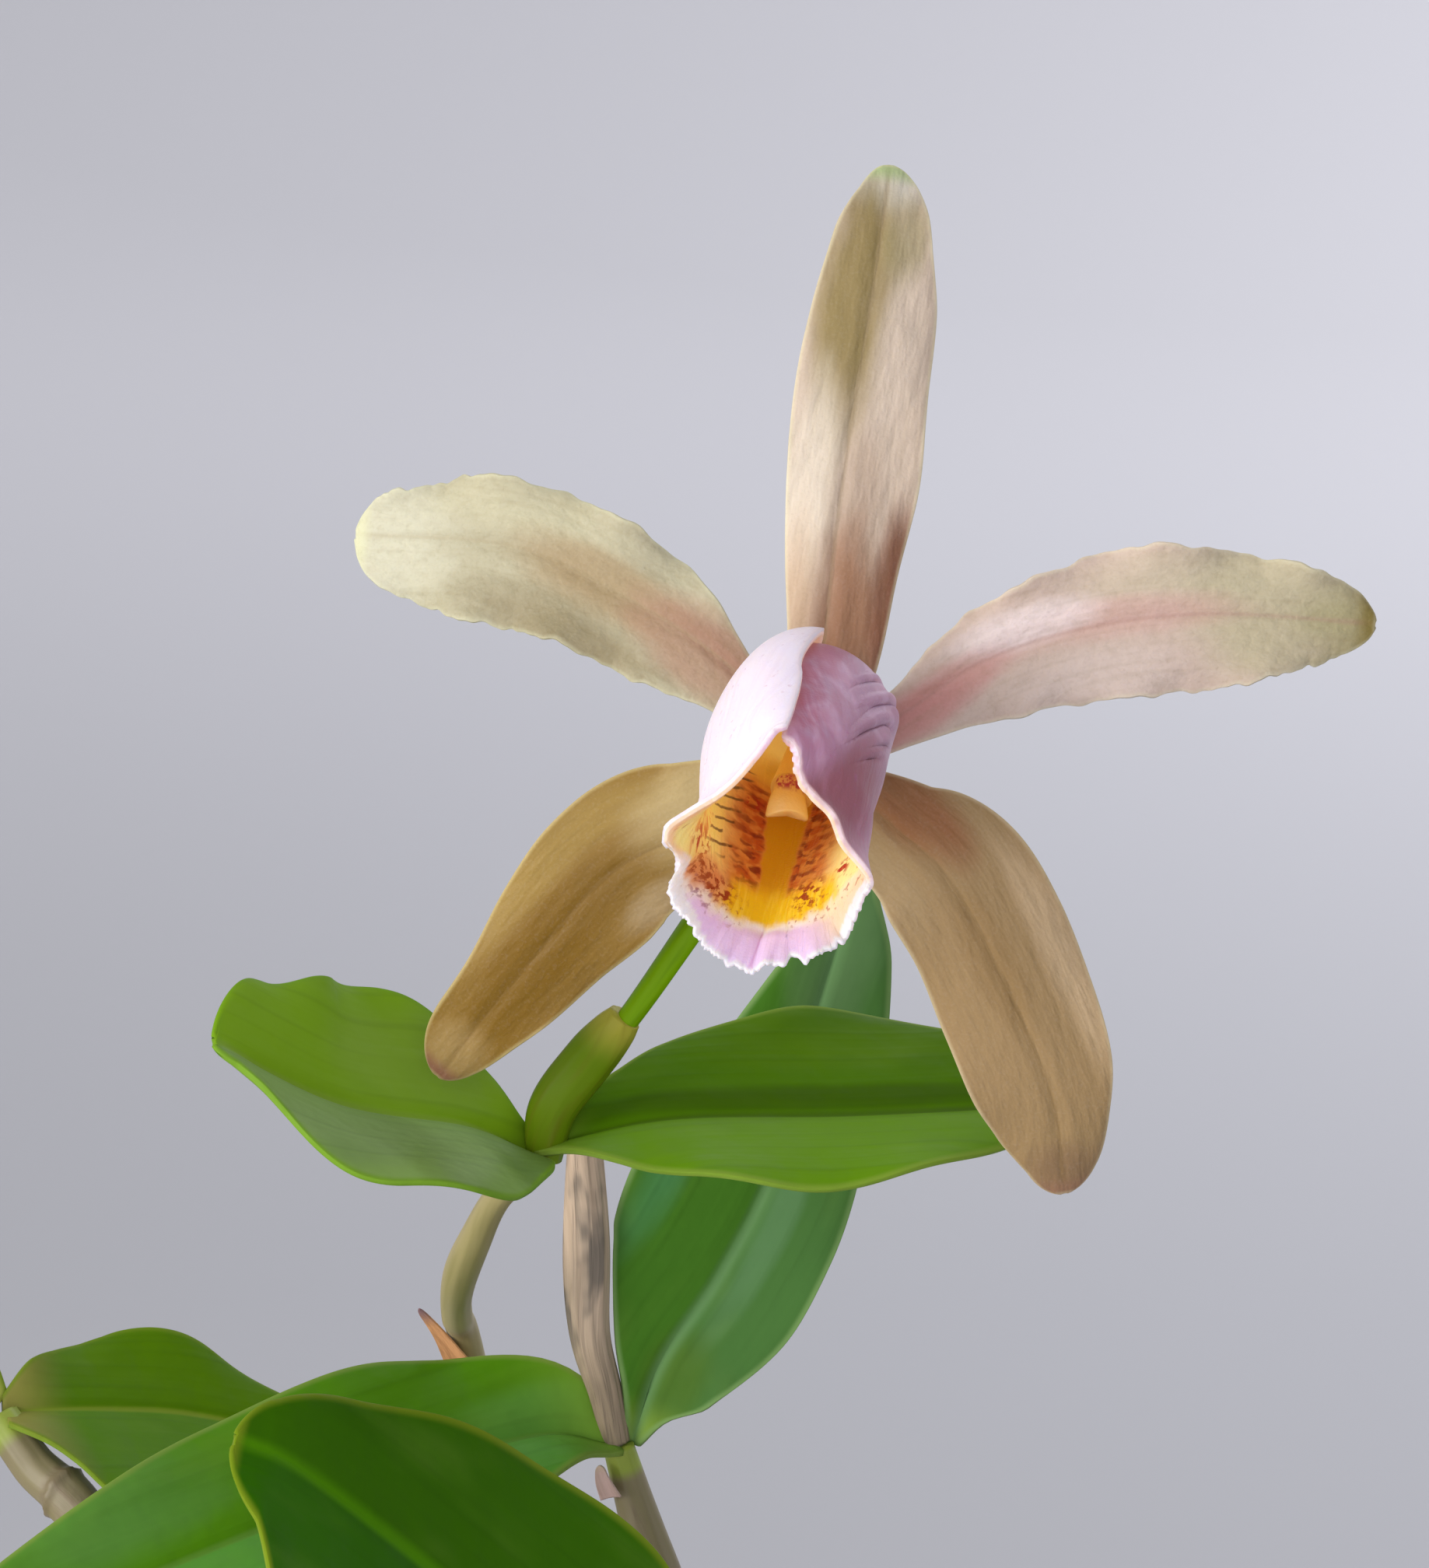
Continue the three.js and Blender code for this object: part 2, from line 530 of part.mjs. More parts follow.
// ---------------------------------------------------------------- lip, in the flower's frame
// One sheet rolled round the column: the angle runs round the roll from the floor (0),
// to the free edges of the side lobes, and v runs from its base (0) to its margin (1).
// The margins give, for each angle, how far along the floor line the sheet reaches.
// A push moves the outer part of the sheet round one angle; a bulge moves the sheet round one place.
const LIP = {
  thickness: 0.7,
  floor: [[0.3, 0.5, -2.5], [-0.2, -5, -4], [-0.6, -10, -5.5], [-2, -16.5, -9.2],
    [-3.8, -24.5, -14.2], [-4.6, -30, -17.4], [-5.4, -34.5, -19.8]],
  radius: [[0, 3.6], [0.13, 6.6], [0.27, 8.3], [0.45, 8.7], [0.62, 8.7], [0.73, 8.8], [0.85, 11.5], [1, 17]],
  squareness: [[0, 0], [0.4, 0.05], [0.6, 0.3], [0.75, 0.5], [1, 0.3]],
  shear: [[0, 0], [0.35, 0.02], [0.55, 0.12], [0.7, 0.2], [1, 0.2]],
  leftMargin: [[0, 1], [15, 0.985], [30, 0.94], [45, 0.87], [55, 0.8], [64, 0.74], [72, 0.755],
    [82, 0.775], [95, 0.76], [120, 0.735], [150, 0.71], [180, 0.685], [200, 0.67]],
  rightMargin: [[0, 1], [15, 0.985], [30, 0.955], [42, 0.91], [52, 0.885], [60, 0.87], [68, 0.855],
    [76, 0.84], [84, 0.815], [95, 0.775], [120, 0.73], [150, 0.7], [180, 0.665], [200, 0.65]],
  leftEdge: [[0, 150], [0.2, 182], [0.4, 192], [0.6, 194], [0.8, 190], [1, 184]],
  rightEdge: [[0, 150], [0.3, 184], [0.7, 185], [1, 181]],
  pushFrom: 0.72,
  pushes: [
    { angle: -180, spread: 25, across: -1.2, up: 0 }, { angle: -88, spread: 18, across: -3.4, up: 0 },
    { angle: -58, spread: 14, across: -2, up: 0 }, { angle: 55, spread: 14, across: -1.1, up: 0 },
    { angle: 70, spread: 14, across: 0, up: -1.05 }, { angle: 84, spread: 13, across: -2.1, up: 0 },
    { angle: 122, spread: 38, across: -3.5, up: 0 }, { angle: 176, spread: 20, across: -0.6, up: 0 },
  ],
  bulges: [
    { angle: -125, spread: 42, place: 0.36, length: 0.2, across: 1.2, up: -0.5 },
    { angle: 78, spread: 26, place: 0.73, length: 0.11, across: 1.5, up: 0 },
    { angle: 100, spread: 22, place: 0.42, length: 0.15, across: 0.6, up: 0 },
  ],
  spiral: 0.05, frontSpread: 62, frill: 1, frills: 7.5, tooth: 0.025,
  sideShare: 0.6, sideColumns: 10, frontColumns: 20,
  rows: [0, 0.12, 0.25, 0.38, 0.5, 0.62, 0.72, 0.8, 0.87, 0.94, 1],
};

const frontLobe = (angle) => Math.exp(-((angle / LIP.frontSpread) ** 4));

function lipPoint(floor, angle, v) {
  const reach = ramp(angle < 0 ? LIP.leftMargin : LIP.rightMargin, Math.abs(angle)) * v;
  const turn = radians(angle);
  const forward = floor.getTangentAt(reach);
  const up = new THREE.Vector3(0, 0, 1).addScaledVector(forward, -forward.z).normalize();
  const side = up.clone().cross(forward);
  const radius = ramp(LIP.radius, reach) * (1 - (LIP.spiral * turn) / Math.PI);
  const drop = 1 - Math.cos(turn);
  const edge = clamp01((v - LIP.pushFrom) / (1 - LIP.pushFrom)) ** 2;
  let z = radius * drop;
  let x = radius * Math.sin(turn) * (1 - (ramp(LIP.squareness, reach) * drop) / 2);
  x += ramp(LIP.shear, reach) * z;
  const shift = (amount, across, rise) => {
    x += amount * across;
    z += amount * rise;
  };
  for (const push of LIP.pushes) shift(edge * hump(angle, push.angle, push.spread), push.across, push.up);
  for (const bulge of LIP.bulges) {
    const near = hump(angle, bulge.angle, bulge.spread) * hump(reach, bulge.place, bulge.length);
    shift(near, bulge.across, bulge.up);
  }
  z += edge * LIP.frill * frontLobe(angle) * Math.sin(LIP.frills * turn);
  return floor.getPointAt(reach).addScaledVector(side, x).addScaledVector(up, z);
}

// Places across the sheet from -1 to 1, closest over the front lobe.
function lipColumns() {
  const front = 1 - LIP.sideShare;
  const counted = (count, rule) => Array.from({ length: count }, (_, k) => rule(k));
  const side = counted(LIP.sideColumns, (k) => 1 - (LIP.sideShare * k) / LIP.sideColumns);
  const middle = counted(LIP.frontColumns + 1, (k) => front * ((2 * k) / LIP.frontColumns - 1));
  return [...side.map((u) => -u), ...middle, ...side.reverse()];
}

function lip(grow) {
  const floor = curveThrough(LIP.floor);
  const grid = LIP.rows.map((v) => lipColumns().map((u, k) => {
    const angle = u < 0 ? u * ramp(LIP.leftEdge, v) : u * ramp(LIP.rightEdge, v);
    const tooth = v === 1 && k % 2 ? LIP.tooth * frontLobe(angle) : 0;
    return lipPoint(floor, angle, v - tooth);
  }));
  return sheet(grid, LIP.thickness + 2 * grow);
}

// ---------------------------------------------------------------- the whole plant
const plant = new THREE.Group();
plant.name = "cattleya_orchid";
const bloom = new THREE.Group();
bloom.position.set(...FLOWER.centre);
bloom.rotation.x = -radians(FLOWER.lean);
plant.add(bloom);
bloom.updateMatrixWorld(true);

const inBloomFrame = (piece) => (grow) => piece(grow).applyMatrix4(bloom.matrixWorld.clone().invert());

// Colour and roughness of each kind of surface.
const LOOKS = {
  clay: [0xb5684a, 0.85], bark: [0x5a3b26, 0.95], root: [0x8f9464, 0.7], cane: [0x8c8a45, 0.5],
  leaf: [0x4f7a3a, 0.4], sheath: [0x8a9440, 0.6], stalk: [0x6d9c3a, 0.45], dryPaper: [0xa89c88, 0.9],
  column: [0xe6dcae, 0.5], cap: [0xe9cfa6, 0.5], lip: [0xe3c4dc, 0.5], leftPetal: [0xcfc59a, 0.5],
  rightPetal: [0xcfb9a8, 0.5], upperSepal: [0xb3a184, 0.5], leftSepal: [0xa08a58, 0.5],
  rightSepal: [0xa48a64, 0.5],
};

function place(group, name, geometry, [color, roughness]) {
  const material = new THREE.MeshStandardMaterial({ color, roughness, metalness: 0 });
  const mesh = new THREE.Mesh(geometry, material);
  mesh.name = name;
  group.add(mesh);
}

place(plant, "pot", potGeometry(), LOOKS.clay);
place(plant, "potting_bark", barkGeometry(underground.concat(Object.values(caneStems))), LOOKS.bark);
place(plant, "rhizome", rhizomeGeometry(), LOOKS.root);

for (const [name, cane] of Object.entries(caneStems)) {
  place(plant, name, clearOf(cane, underground), LOOKS.cane);
}

const CARRIERS = {
  leaf_right: ["cane_front"], leaf_left: ["cane_front", "leaf_right"],
  leaf_back: ["cane_back"], leaf_low: ["cane_back", "leaf_back"],
  leaf_far: ["cane_left"], leaf_outer: ["cane_left", "leaf_far"],
  leaf_front: ["cane_low"], leaf_lowest: ["cane_low", "leaf_front"],
};
const pieces = { ...caneStems, ...leafBlades };
for (const [name, leaf] of Object.entries(leafBlades)) {
  place(plant, name, clearOf(leaf, CARRIERS[name].map((carrier) => pieces[carrier])), LOOKS.leaf);
}

const flowerTop = [caneStems.cane_front, leafBlades.leaf_right, leafBlades.leaf_left];
const sheathTop = [caneStems.cane_back, leafBlades.leaf_back, leafBlades.leaf_low];
place(plant, "flower_sheath", clearOf(flowerSheath, [pedicel, ...flowerTop]), LOOKS.sheath);
place(plant, "pedicel", clearOf(pedicel, flowerTop), LOOKS.stalk);
place(plant, "dry_sheath", clearOf(drySheath, sheathTop), LOOKS.dryPaper);

const stalk = inBloomFrame(pedicel);
const { left_petal, right_petal, dorsal_sepal, left_sepal, right_sepal } = tepalBlades;
const middle = [stalk, column, lip];
place(bloom, "column", clearOf(column, [stalk]), LOOKS.column);
place(bloom, "anther_cap", clearOf(antherCap, [column]), LOOKS.cap);
place(bloom, "lip", clearOf(lip, [column]), LOOKS.lip);
place(bloom, "left_petal", clearOf(left_petal, middle), LOOKS.leftPetal);
place(bloom, "right_petal", clearOf(right_petal, [...middle, left_petal]), LOOKS.rightPetal);
place(bloom, "dorsal_sepal", clearOf(dorsal_sepal, [...middle, left_petal, right_petal]), LOOKS.upperSepal);
place(bloom, "left_sepal", clearOf(left_sepal, [...middle, left_petal, dorsal_sepal]), LOOKS.leftSepal);
place(bloom, "right_sepal", clearOf(right_sepal, [...middle, right_petal, dorsal_sepal, left_sepal]),
  LOOKS.rightSepal);

export default plant;
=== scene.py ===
"""Dresses a potted cattleya orchid in flower over its CAD frame: bloom, leaves, canes, roots, bark, pot."""

import logging
import math
from dataclasses import dataclass, field
from enum import Enum
from typing import Callable, Optional, Sequence, Union

import bpy
import numpy as np
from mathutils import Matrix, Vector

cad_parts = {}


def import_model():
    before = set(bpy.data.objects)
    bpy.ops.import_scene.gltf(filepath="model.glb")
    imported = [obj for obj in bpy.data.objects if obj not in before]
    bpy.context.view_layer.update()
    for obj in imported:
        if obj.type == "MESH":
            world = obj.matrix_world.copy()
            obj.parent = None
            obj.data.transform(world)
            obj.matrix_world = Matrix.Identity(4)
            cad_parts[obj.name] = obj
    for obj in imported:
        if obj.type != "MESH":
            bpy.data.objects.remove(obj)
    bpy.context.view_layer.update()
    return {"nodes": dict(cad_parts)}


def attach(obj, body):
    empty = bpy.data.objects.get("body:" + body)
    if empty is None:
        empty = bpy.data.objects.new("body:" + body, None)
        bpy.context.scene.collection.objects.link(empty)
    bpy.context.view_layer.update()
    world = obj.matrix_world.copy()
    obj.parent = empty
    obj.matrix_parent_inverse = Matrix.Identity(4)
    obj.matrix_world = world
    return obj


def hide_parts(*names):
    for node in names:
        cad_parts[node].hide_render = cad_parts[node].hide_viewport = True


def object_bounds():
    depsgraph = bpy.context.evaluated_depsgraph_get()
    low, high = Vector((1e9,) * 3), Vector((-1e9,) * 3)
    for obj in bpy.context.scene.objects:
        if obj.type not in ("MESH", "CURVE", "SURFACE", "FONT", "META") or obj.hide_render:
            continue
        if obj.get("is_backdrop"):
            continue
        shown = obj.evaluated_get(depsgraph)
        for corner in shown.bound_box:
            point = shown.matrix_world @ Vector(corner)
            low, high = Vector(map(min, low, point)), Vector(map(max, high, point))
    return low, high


LOG = logging.getLogger("orchid")
MM = 0.001
BODY = "root"

Point = tuple[float, float, float]
Rows = Sequence[Sequence[float]]
Socket = bpy.types.NodeSocket
Link = Union[float, Sequence[float], Socket]
Move = Callable[[np.ndarray], np.ndarray]


# ---------------- numbers
def linear(code: str) -> tuple[float, float, float, float]:
    """Turns an sRGB hex colour to linear light.

    Args:
        code: a colour such as "#aabbcc".

    Returns:
        Red, green, blue and alpha for a Blender colour socket.
    """
    parts = [int(code[i:i + 2], 16) / 255 for i in (1, 3, 5)]
    light = [c / 12.92 if c <= 0.04045 else ((c + 0.055) / 1.055) ** 2.4 for c in parts]
    return light[0], light[1], light[2], 1.0


def unit(vectors: np.ndarray) -> np.ndarray:
    """Scales each vector of an array to a length of one."""
    return vectors / np.maximum(np.linalg.norm(vectors, axis=-1, keepdims=True), 1e-12)


def hump(x: np.ndarray, middle: float, spread: float) -> np.ndarray:
    """A bell of height one round a middle."""
    return np.exp(-(((x - middle) / spread) ** 2))


def fade(x: np.ndarray, start: float, end: float) -> np.ndarray:
    """Rises smoothly from 0 at start to 1 at end."""
    f = np.clip((x - start) / (end - start), 0.0, 1.0)
    return f * f * (3 - 2 * f)


def ramp(rows: Rows, place: np.ndarray, column: int = 1) -> np.ndarray:
    """A smooth value along rows of (place, value, value ...).

    Args:
        rows: the rows, in order of their place.
        place: where the values are wanted.
        column: which value of a row is read.

    Returns:
        The values, with the shape of place.
    """
    table = np.asarray(rows, float)
    at, value = table[:, 0], table[:, column]
    last = len(at) - 1
    low, high = np.maximum(np.arange(last + 1) - 1, 0), np.minimum(np.arange(last + 1) + 1, last)
    slope = (value[high] - value[low]) / (at[high] - at[low])
    x = np.clip(place, at[0], at[-1])
    i = np.clip(np.searchsorted(at, x, side="right") - 1, 0, last - 1)
    span = at[i + 1] - at[i]
    f = (x - at[i]) / span
    ease = f * f * (3 - 2 * f)
    bend = slope[i] * (f ** 3 - 2 * f * f + f) + slope[i + 1] * (f ** 3 - f * f)
    return value[i] + (value[i + 1] - value[i]) * ease + span * bend


class Draw:
    """A seeded draw of numbers from 0 to 1, the same in every run."""

    FACTOR = 1664525
    STEP = 1013904223
    RANGE = 2 ** 32

    def __init__(self, seed: int) -> None:
        """Starts the draw from its seed."""
        self.state = seed

    def next(self) -> float:
        """The next number."""
        self.state = (self.state * self.FACTOR + self.STEP) % self.RANGE
        return self.state / self.RANGE

    def around(self, spread: float) -> float:
        """A number within half a spread of zero."""
        return spread * (self.next() - 0.5)


class Path:
    """A smooth curve through points, measured by its length."""

    STEPS = 801
    REACH = 2e-3  # the share of the length on either side over which a direction is taken

    def __init__(self, points: Sequence[Point]) -> None:
        """Fits the curve and its table of lengths."""
        p = np.asarray(points, float)
        self.points = np.vstack([2 * p[0] - p[1], p, 2 * p[-1] - p[-2]])
        self.spans = len(p) - 1
        self.steps = np.linspace(0.0, 1.0, self.STEPS)
        walk = np.linalg.norm(np.diff(self._raw(self.steps), axis=0), axis=1)
        self.walked = np.concatenate([[0.0], np.cumsum(walk)])
        self.length = float(self.walked[-1])

    def _raw(self, t: np.ndarray) -> np.ndarray:
        """Points at an even share of the spans."""
        x = np.clip(np.asarray(t, float), 0, 1) * self.spans
        i = np.clip(np.floor(x).astype(int), 0, self.spans - 1)
        f = (x - i)[..., None]
        a, b, c, d = (self.points[i + k] for k in range(4))
        return 0.5 * (2 * b + (c - a) * f + (2 * a - 5 * b + 4 * c - d) * f ** 2
                      + (3 * b - a - 3 * c + d) * f ** 3)

    def at(self, t: np.ndarray) -> np.ndarray:
        """Points at a share t of the length."""
        return self._raw(np.interp(np.asarray(t, float) * self.length, self.walked, self.steps))

    def direction(self, t: np.ndarray) -> np.ndarray:
        """Unit directions at a share t of the length."""
        t = np.asarray(t, float)
        return unit(self.at(np.minimum(t + self.REACH, 1.0)) - self.at(np.maximum(t - self.REACH, 0.0)))


# ---------------- meshes
PLACE_MM = "place_mm"  # across, along, and side of a sheet (1 or -1) or height above a stem's joint
PLACE_PART = "place_part"  # turn (-1 to 1, or the lip's angle), share of the length, distance to the margin
FAR = 99.0  # a distance to the margin or to a joint where there is none
SIDE_BLEND = 0.2  # the side mark on either side of 0 over which a sheet's one colour turns to the other


def mesh_object(name: str, points: np.ndarray, faces: list, marks: dict[str, np.ndarray],
                finish: "Finish") -> bpy.types.Object:
    """Makes a smooth-shaded mesh object from points in millimetres.

    Args:
        name: the object's name.
        points: corner points, one row each.
        faces: corner numbers of each face.
        marks: a vector for each point, by attribute name, which the finish reads.
        finish: the finish that it is dressed in.

    Returns:
        The object, linked to the scene.
    """
    mesh = bpy.data.meshes.new(name)
    mesh.from_pydata(np.asarray(points) * MM, [], faces)
    mesh.update()
    for key, values in marks.items():
        layer = mesh.attributes.new(key, "FLOAT_VECTOR", "POINT")
        layer.data.foreach_set("vector", np.asarray(values, np.float32).ravel())
    mesh.polygons.foreach_set("use_smooth", [True] * len(mesh.polygons))
    mesh.materials.append(finish.material())
    made = bpy.data.objects.new(name, mesh)
    bpy.context.collection.objects.link(made)
    return made


def grid_faces(rows: int, columns: int, start: int = 0, closed: bool = False) -> list[tuple[int, ...]]:
    """Quads over a grid of points, row by row.

    Args:
        rows: how many rows of points there are.
        columns: how many points a row has.
        start: the number of the first point.
        closed: whether each row runs round to its first point.

    Returns:
        The faces' corner numbers.
    """
    i, j = np.meshgrid(np.arange(rows - 1), np.arange(columns if closed else columns - 1), indexing="ij")
    a = start + i * columns + j
    b = start + i * columns + (j + 1) % columns
    return list(map(tuple, np.stack([a, b, b + columns, a + columns], -1).reshape(-1, 4).tolist()))


def end_fans(count: int, last: int, hub: int) -> list[tuple[int, ...]]:
    """Triangles from rings of some count to a hub at each end, the last ring starting at last."""
    first = [(hub, (j + 1) % count, j) for j in range(count)]
    return first + [(hub + 1, last + j, last + (j + 1) % count) for j in range(count)]


def sheet_object(name: str, grid: np.ndarray, thick: np.ndarray, mm: np.ndarray, part: np.ndarray,
                 finish: "Finish") -> bpy.types.Object:
    """A thin closed sheet over a grid of points.

    Args:
        name: the object's name.
        grid: the sheet's middle, rows by columns of points in millimetres.
        thick: its thickness at each point, in millimetres.
        mm: across and along at each point, in millimetres.
        part: PLACE_PART at each point.
        finish: the finish.

    Returns:
        The object.
    """
    rows, columns = grid.shape[:2]
    normal = unit(np.cross(np.gradient(grid, axis=1), np.gradient(grid, axis=0)))
    shift = normal * thick[..., None] / 2
    points = np.concatenate([(grid + shift).reshape(-1, 3), (grid - shift).reshape(-1, 3)])
    under = rows * columns
    faces = grid_faces(rows, columns)
    faces += [tuple(reversed([n + under for n in face])) for face in faces]
    rim = [*range(columns), *(i * columns + columns - 1 for i in range(1, rows))]
    rim += [(rows - 1) * columns + j for j in range(columns - 2, -1, -1)]
    rim += [i * columns for i in range(rows - 2, 0, -1)]
    faces += [(a, a + under, b + under, b) for a, b in zip(rim, rim[1:] + rim[:1])]
    sides = [np.dstack([mm, np.full((rows, columns), side)]).reshape(-1, 3) for side in (1.0, -1.0)]
    marks = {PLACE_MM: np.concatenate(sides), PLACE_PART: np.concatenate([part.reshape(-1, 3)] * 2)}
    return mesh_object(name, points, faces, marks, finish)


def turned(profile: np.ndarray, turns: int) -> np.ndarray:
    """The points of a profile of (radius, height) turned round the upright axis, ring by ring."""
    turn = np.linspace(0, 2 * math.pi, turns, endpoint=False)
    radius, height = profile[:, :1], np.repeat(profile[:, 1:], turns, 1)
    return np.dstack([radius * np.cos(turn), radius * np.sin(turn), height]).reshape(-1, 3)


def lathe(name: str, profile: Rows, turns: int, finish: "Finish", steps: int = 1) -> bpy.types.Object:
    """Turns a profile of (radius, height) round the upright axis, from axis to axis.

    Args:
        name: the object's name.
        profile: the profile's corners, in millimetres.
        turns: how many faces it has round the axis.
        finish: its finish.
        steps: into how many faces each straight is split.

    Returns:
        The object.
    """
    corners = np.asarray(profile, float)
    line = np.concatenate([np.linspace(a, b, steps, endpoint=False) for a, b in zip(corners, corners[1:])]
                          + [corners[-1:]])
    points = turned(line[1:-1], turns)
    faces = grid_faces(len(line) - 2, turns, closed=True)
    faces += end_fans(turns, len(points) - turns, len(points))
    points = np.vstack([points, [[0, 0, line[0, 1]], [0, 0, line[-1, 1]]]])
    return mesh_object(name, points, faces, {PLACE_MM: points}, finish)


def join(name: str, pieces: Sequence[bpy.types.Object]) -> bpy.types.Object:
    """Joins several objects into the first and names it."""
    with bpy.context.temp_override(active_object=pieces[0], selected_editable_objects=list(pieces)):
        bpy.ops.object.join()
    pieces[0].name = name
    return pieces[0]


def dress(made: bpy.types.Object, slot: str, *nodes: str) -> None:
    """Lets a piece stand for its CAD nodes and ride on the part's body.

    Args:
        made: the piece.
        slot: a material slot's name; not used.
        nodes: the CAD nodes that it stands for.
    """
    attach(made, BODY)
    if nodes:
        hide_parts(*nodes)
    LOG.info("%s: %d faces for %s", made.name, len(made.data.polygons), ", ".join(nodes) or "the plant")


# ---------------- finishes
MATH, VECTOR, MIX = "ShaderNodeMath", "ShaderNodeVectorMath", "ShaderNodeMix"


class Node(Enum):
    """The nodes that the finishes use: the type of each and its own fixed settings."""

    SURFACE = ("ShaderNodeOutputMaterial", {})
    SHADER = ("ShaderNodeBsdfPrincipled", {})
    RELIEF = ("ShaderNodeBump", {})
    MARK = ("ShaderNodeAttribute", {})
    WHERE = ("ShaderNodeTexCoord", {})
    SPLIT = ("ShaderNodeSeparateXYZ", {})
    JOIN = ("ShaderNodeCombineXYZ", {})
    NOISE = ("ShaderNodeTexNoise", {})
    BAND = ("ShaderNodeMapRange", {"interpolation_type": "SMOOTHSTEP"})
    OVER = (MIX, {"data_type": "RGBA"})
    PLUS = (MATH, {"operation": "ADD"})
    MINUS = (MATH, {"operation": "SUBTRACT"})
    TIMES = (MATH, {"operation": "MULTIPLY"})
    TIMES_PLUS = (MATH, {"operation": "MULTIPLY_ADD"})
    SIZE = (MATH, {"operation": "ABSOLUTE"})
    FRACTION = (MATH, {"operation": "FRACT"})
    SHIFT = (VECTOR, {"operation": "SUBTRACT"})
    SHRINK = (VECTOR, {"operation": "DIVIDE"})
    GROW = (VECTOR, {"operation": "SCALE"})
    SQUARE = (VECTOR, {"operation": "DOT_PRODUCT"})


class Bench:
    """A material's node tree with the coordinates that its patterns read."""

    def __init__(self, tree: bpy.types.NodeTree) -> None:
        """Reads the marks that the meshes carry and the piece's own coordinates in millimetres."""
        self.tree = tree
        self.mm = self.add(Node.MARK, attribute_name=PLACE_MM, take="Vector")
        part = self.add(Node.MARK, attribute_name=PLACE_PART, take="Vector")
        self.across, self.along, self.side = (self.add(Node.SPLIT, self.mm, take=axis) for axis in "XYZ")
        self.turn, self.share, self.edge = (self.add(Node.SPLIT, part, take=axis) for axis in "XYZ")
        self.spot = self.add(Node.JOIN, self.across, self.share, 0.0)
        self.body = self.add(Node.GROW, self.add(Node.WHERE, take="Object"), Scale=1 / MM)

    def add(self, node: Node, *values: Link, take: str = "", **named: object) -> Socket:
        """Adds a node with its settings, values and links.

        Args:
            node: which node it is.
            values: numbers, colours or sockets for its inputs, in order.
            take: the name of the output that is wanted, or nothing for the first.
            named: its own settings, and values for inputs by their names with _ for a space.

        Returns:
            One of its outputs.
        """
        kind, fixed = node.value
        made = self.tree.nodes.new(kind)
        wanted = {**fixed, **named}
        for key in [key for key in wanted if hasattr(made, key)]:
            setattr(made, key, wanted.pop(key))
        inputs = [socket for socket in made.inputs if socket.enabled]
        by_name = {socket.name.replace(" ", "_"): socket for socket in inputs}
        pairs = list(zip(inputs, values)) + [(by_name[key], value) for key, value in wanted.items()]
        for socket, value in pairs:
            if isinstance(value, Socket):
                self.tree.links.new(value, socket)
            else:
                socket.default_value = value
        return next((out for out in made.outputs if out.enabled and take in ("", out.name)), None)

    def within(self, *spans: Sequence[Link], amount: Link = 1.0) -> Link:
        """How far each place lies inside every one of some soft spans.

        Args:
            spans: for each a value, where it begins to count and where it counts fully, and then the shares
                at both where they aren't 0 and 1.
            amount: what the product of the shares is multiplied by.

        Returns:
            The product.
        """
        zone = amount
        for span in spans:
            zone = self.add(Node.TIMES, self.add(Node.BAND, *span), zone)
        return zone


class Dye:
    """A colour that is built up layer by layer."""

    def __init__(self, bench: Bench, code: str) -> None:
        """Starts from one plain colour."""
        self.bench = bench
        self.colour: Link = linear(code)

    def lay(self, colour: Union[str, Link], amount: Link) -> None:
        """Lays a hex colour or a socket's over what is below, by an amount from 0 to 1."""
        top = linear(colour) if isinstance(colour, str) else colour
        self.colour = self.bench.add(Node.OVER, amount, self.colour, top)


@dataclass(frozen=True)
class Grain:
    """A random pattern of one colour.

    Its size is in millimetres along each of three coordinates. It begins to show where the pattern's value,
    which lies about 0.5, reaches starts, and shows fully at full.
    """

    colour: str
    amount: float
    size: Point
    starts: float = 0.5
    full: float = 0.68
    detail: float = 2.0
    rough: float = 0.5

    def pattern(self, bench: Bench, where: Link) -> Socket:
        """The bare pattern over some coordinates in millimetres."""
        scaled = bench.add(Node.SHRINK, where, self.size)
        return bench.add(Node.NOISE, scaled, Scale=1.0, Detail=self.detail, Roughness=self.rough)

    def lay_on(self, dye: Dye, where: Link, zone: Link = 1.0) -> Socket:
        """Lays the pattern over a colour.

        Args:
            dye: the colour below.
            where: the coordinates.
            zone: how strongly each place takes it, from 0 to 1.

        Returns:
            The bare pattern, for a relief.
        """
        pattern = self.pattern(dye.bench, where)
        amount = dye.bench.add(Node.BAND, pattern, self.starts, self.full, 0.0, self.amount)
        dye.lay(self.colour, dye.bench.add(Node.TIMES, amount, zone))
        return pattern


@dataclass(frozen=True)
class Stain:
    """A soft-edged patch on a blade, pigment on most blades and painted light or shade on a few: its middle,
    its reach each way, its colour and strength.
    """

    across_mm: float
    share: float
    wide_mm: float
    long_share: float
    colour: str
    amount: float = 0.8

    OUTSIDE = 1.15  # the squared reach at which the patch has faded out

    def lay_on(self, dye: Dye, sway: Link) -> None:
        """Lays the patch over a colour.

        Args:
            dye: the colour below.
            sway: a pattern about zero that makes the edge uneven.
        """
        add = dye.bench.add
        off = add(Node.SHIFT, dye.bench.spot, (self.across_mm, self.share, 0.0))
        near = add(Node.SHRINK, off, (self.wide_mm, self.long_share, 1.0))
        far = add(Node.PLUS, add(Node.SQUARE, near, near), sway)
        dye.lay(self.colour, add(Node.BAND, far, self.OUTSIDE, 0.0, 0.0, self.amount))


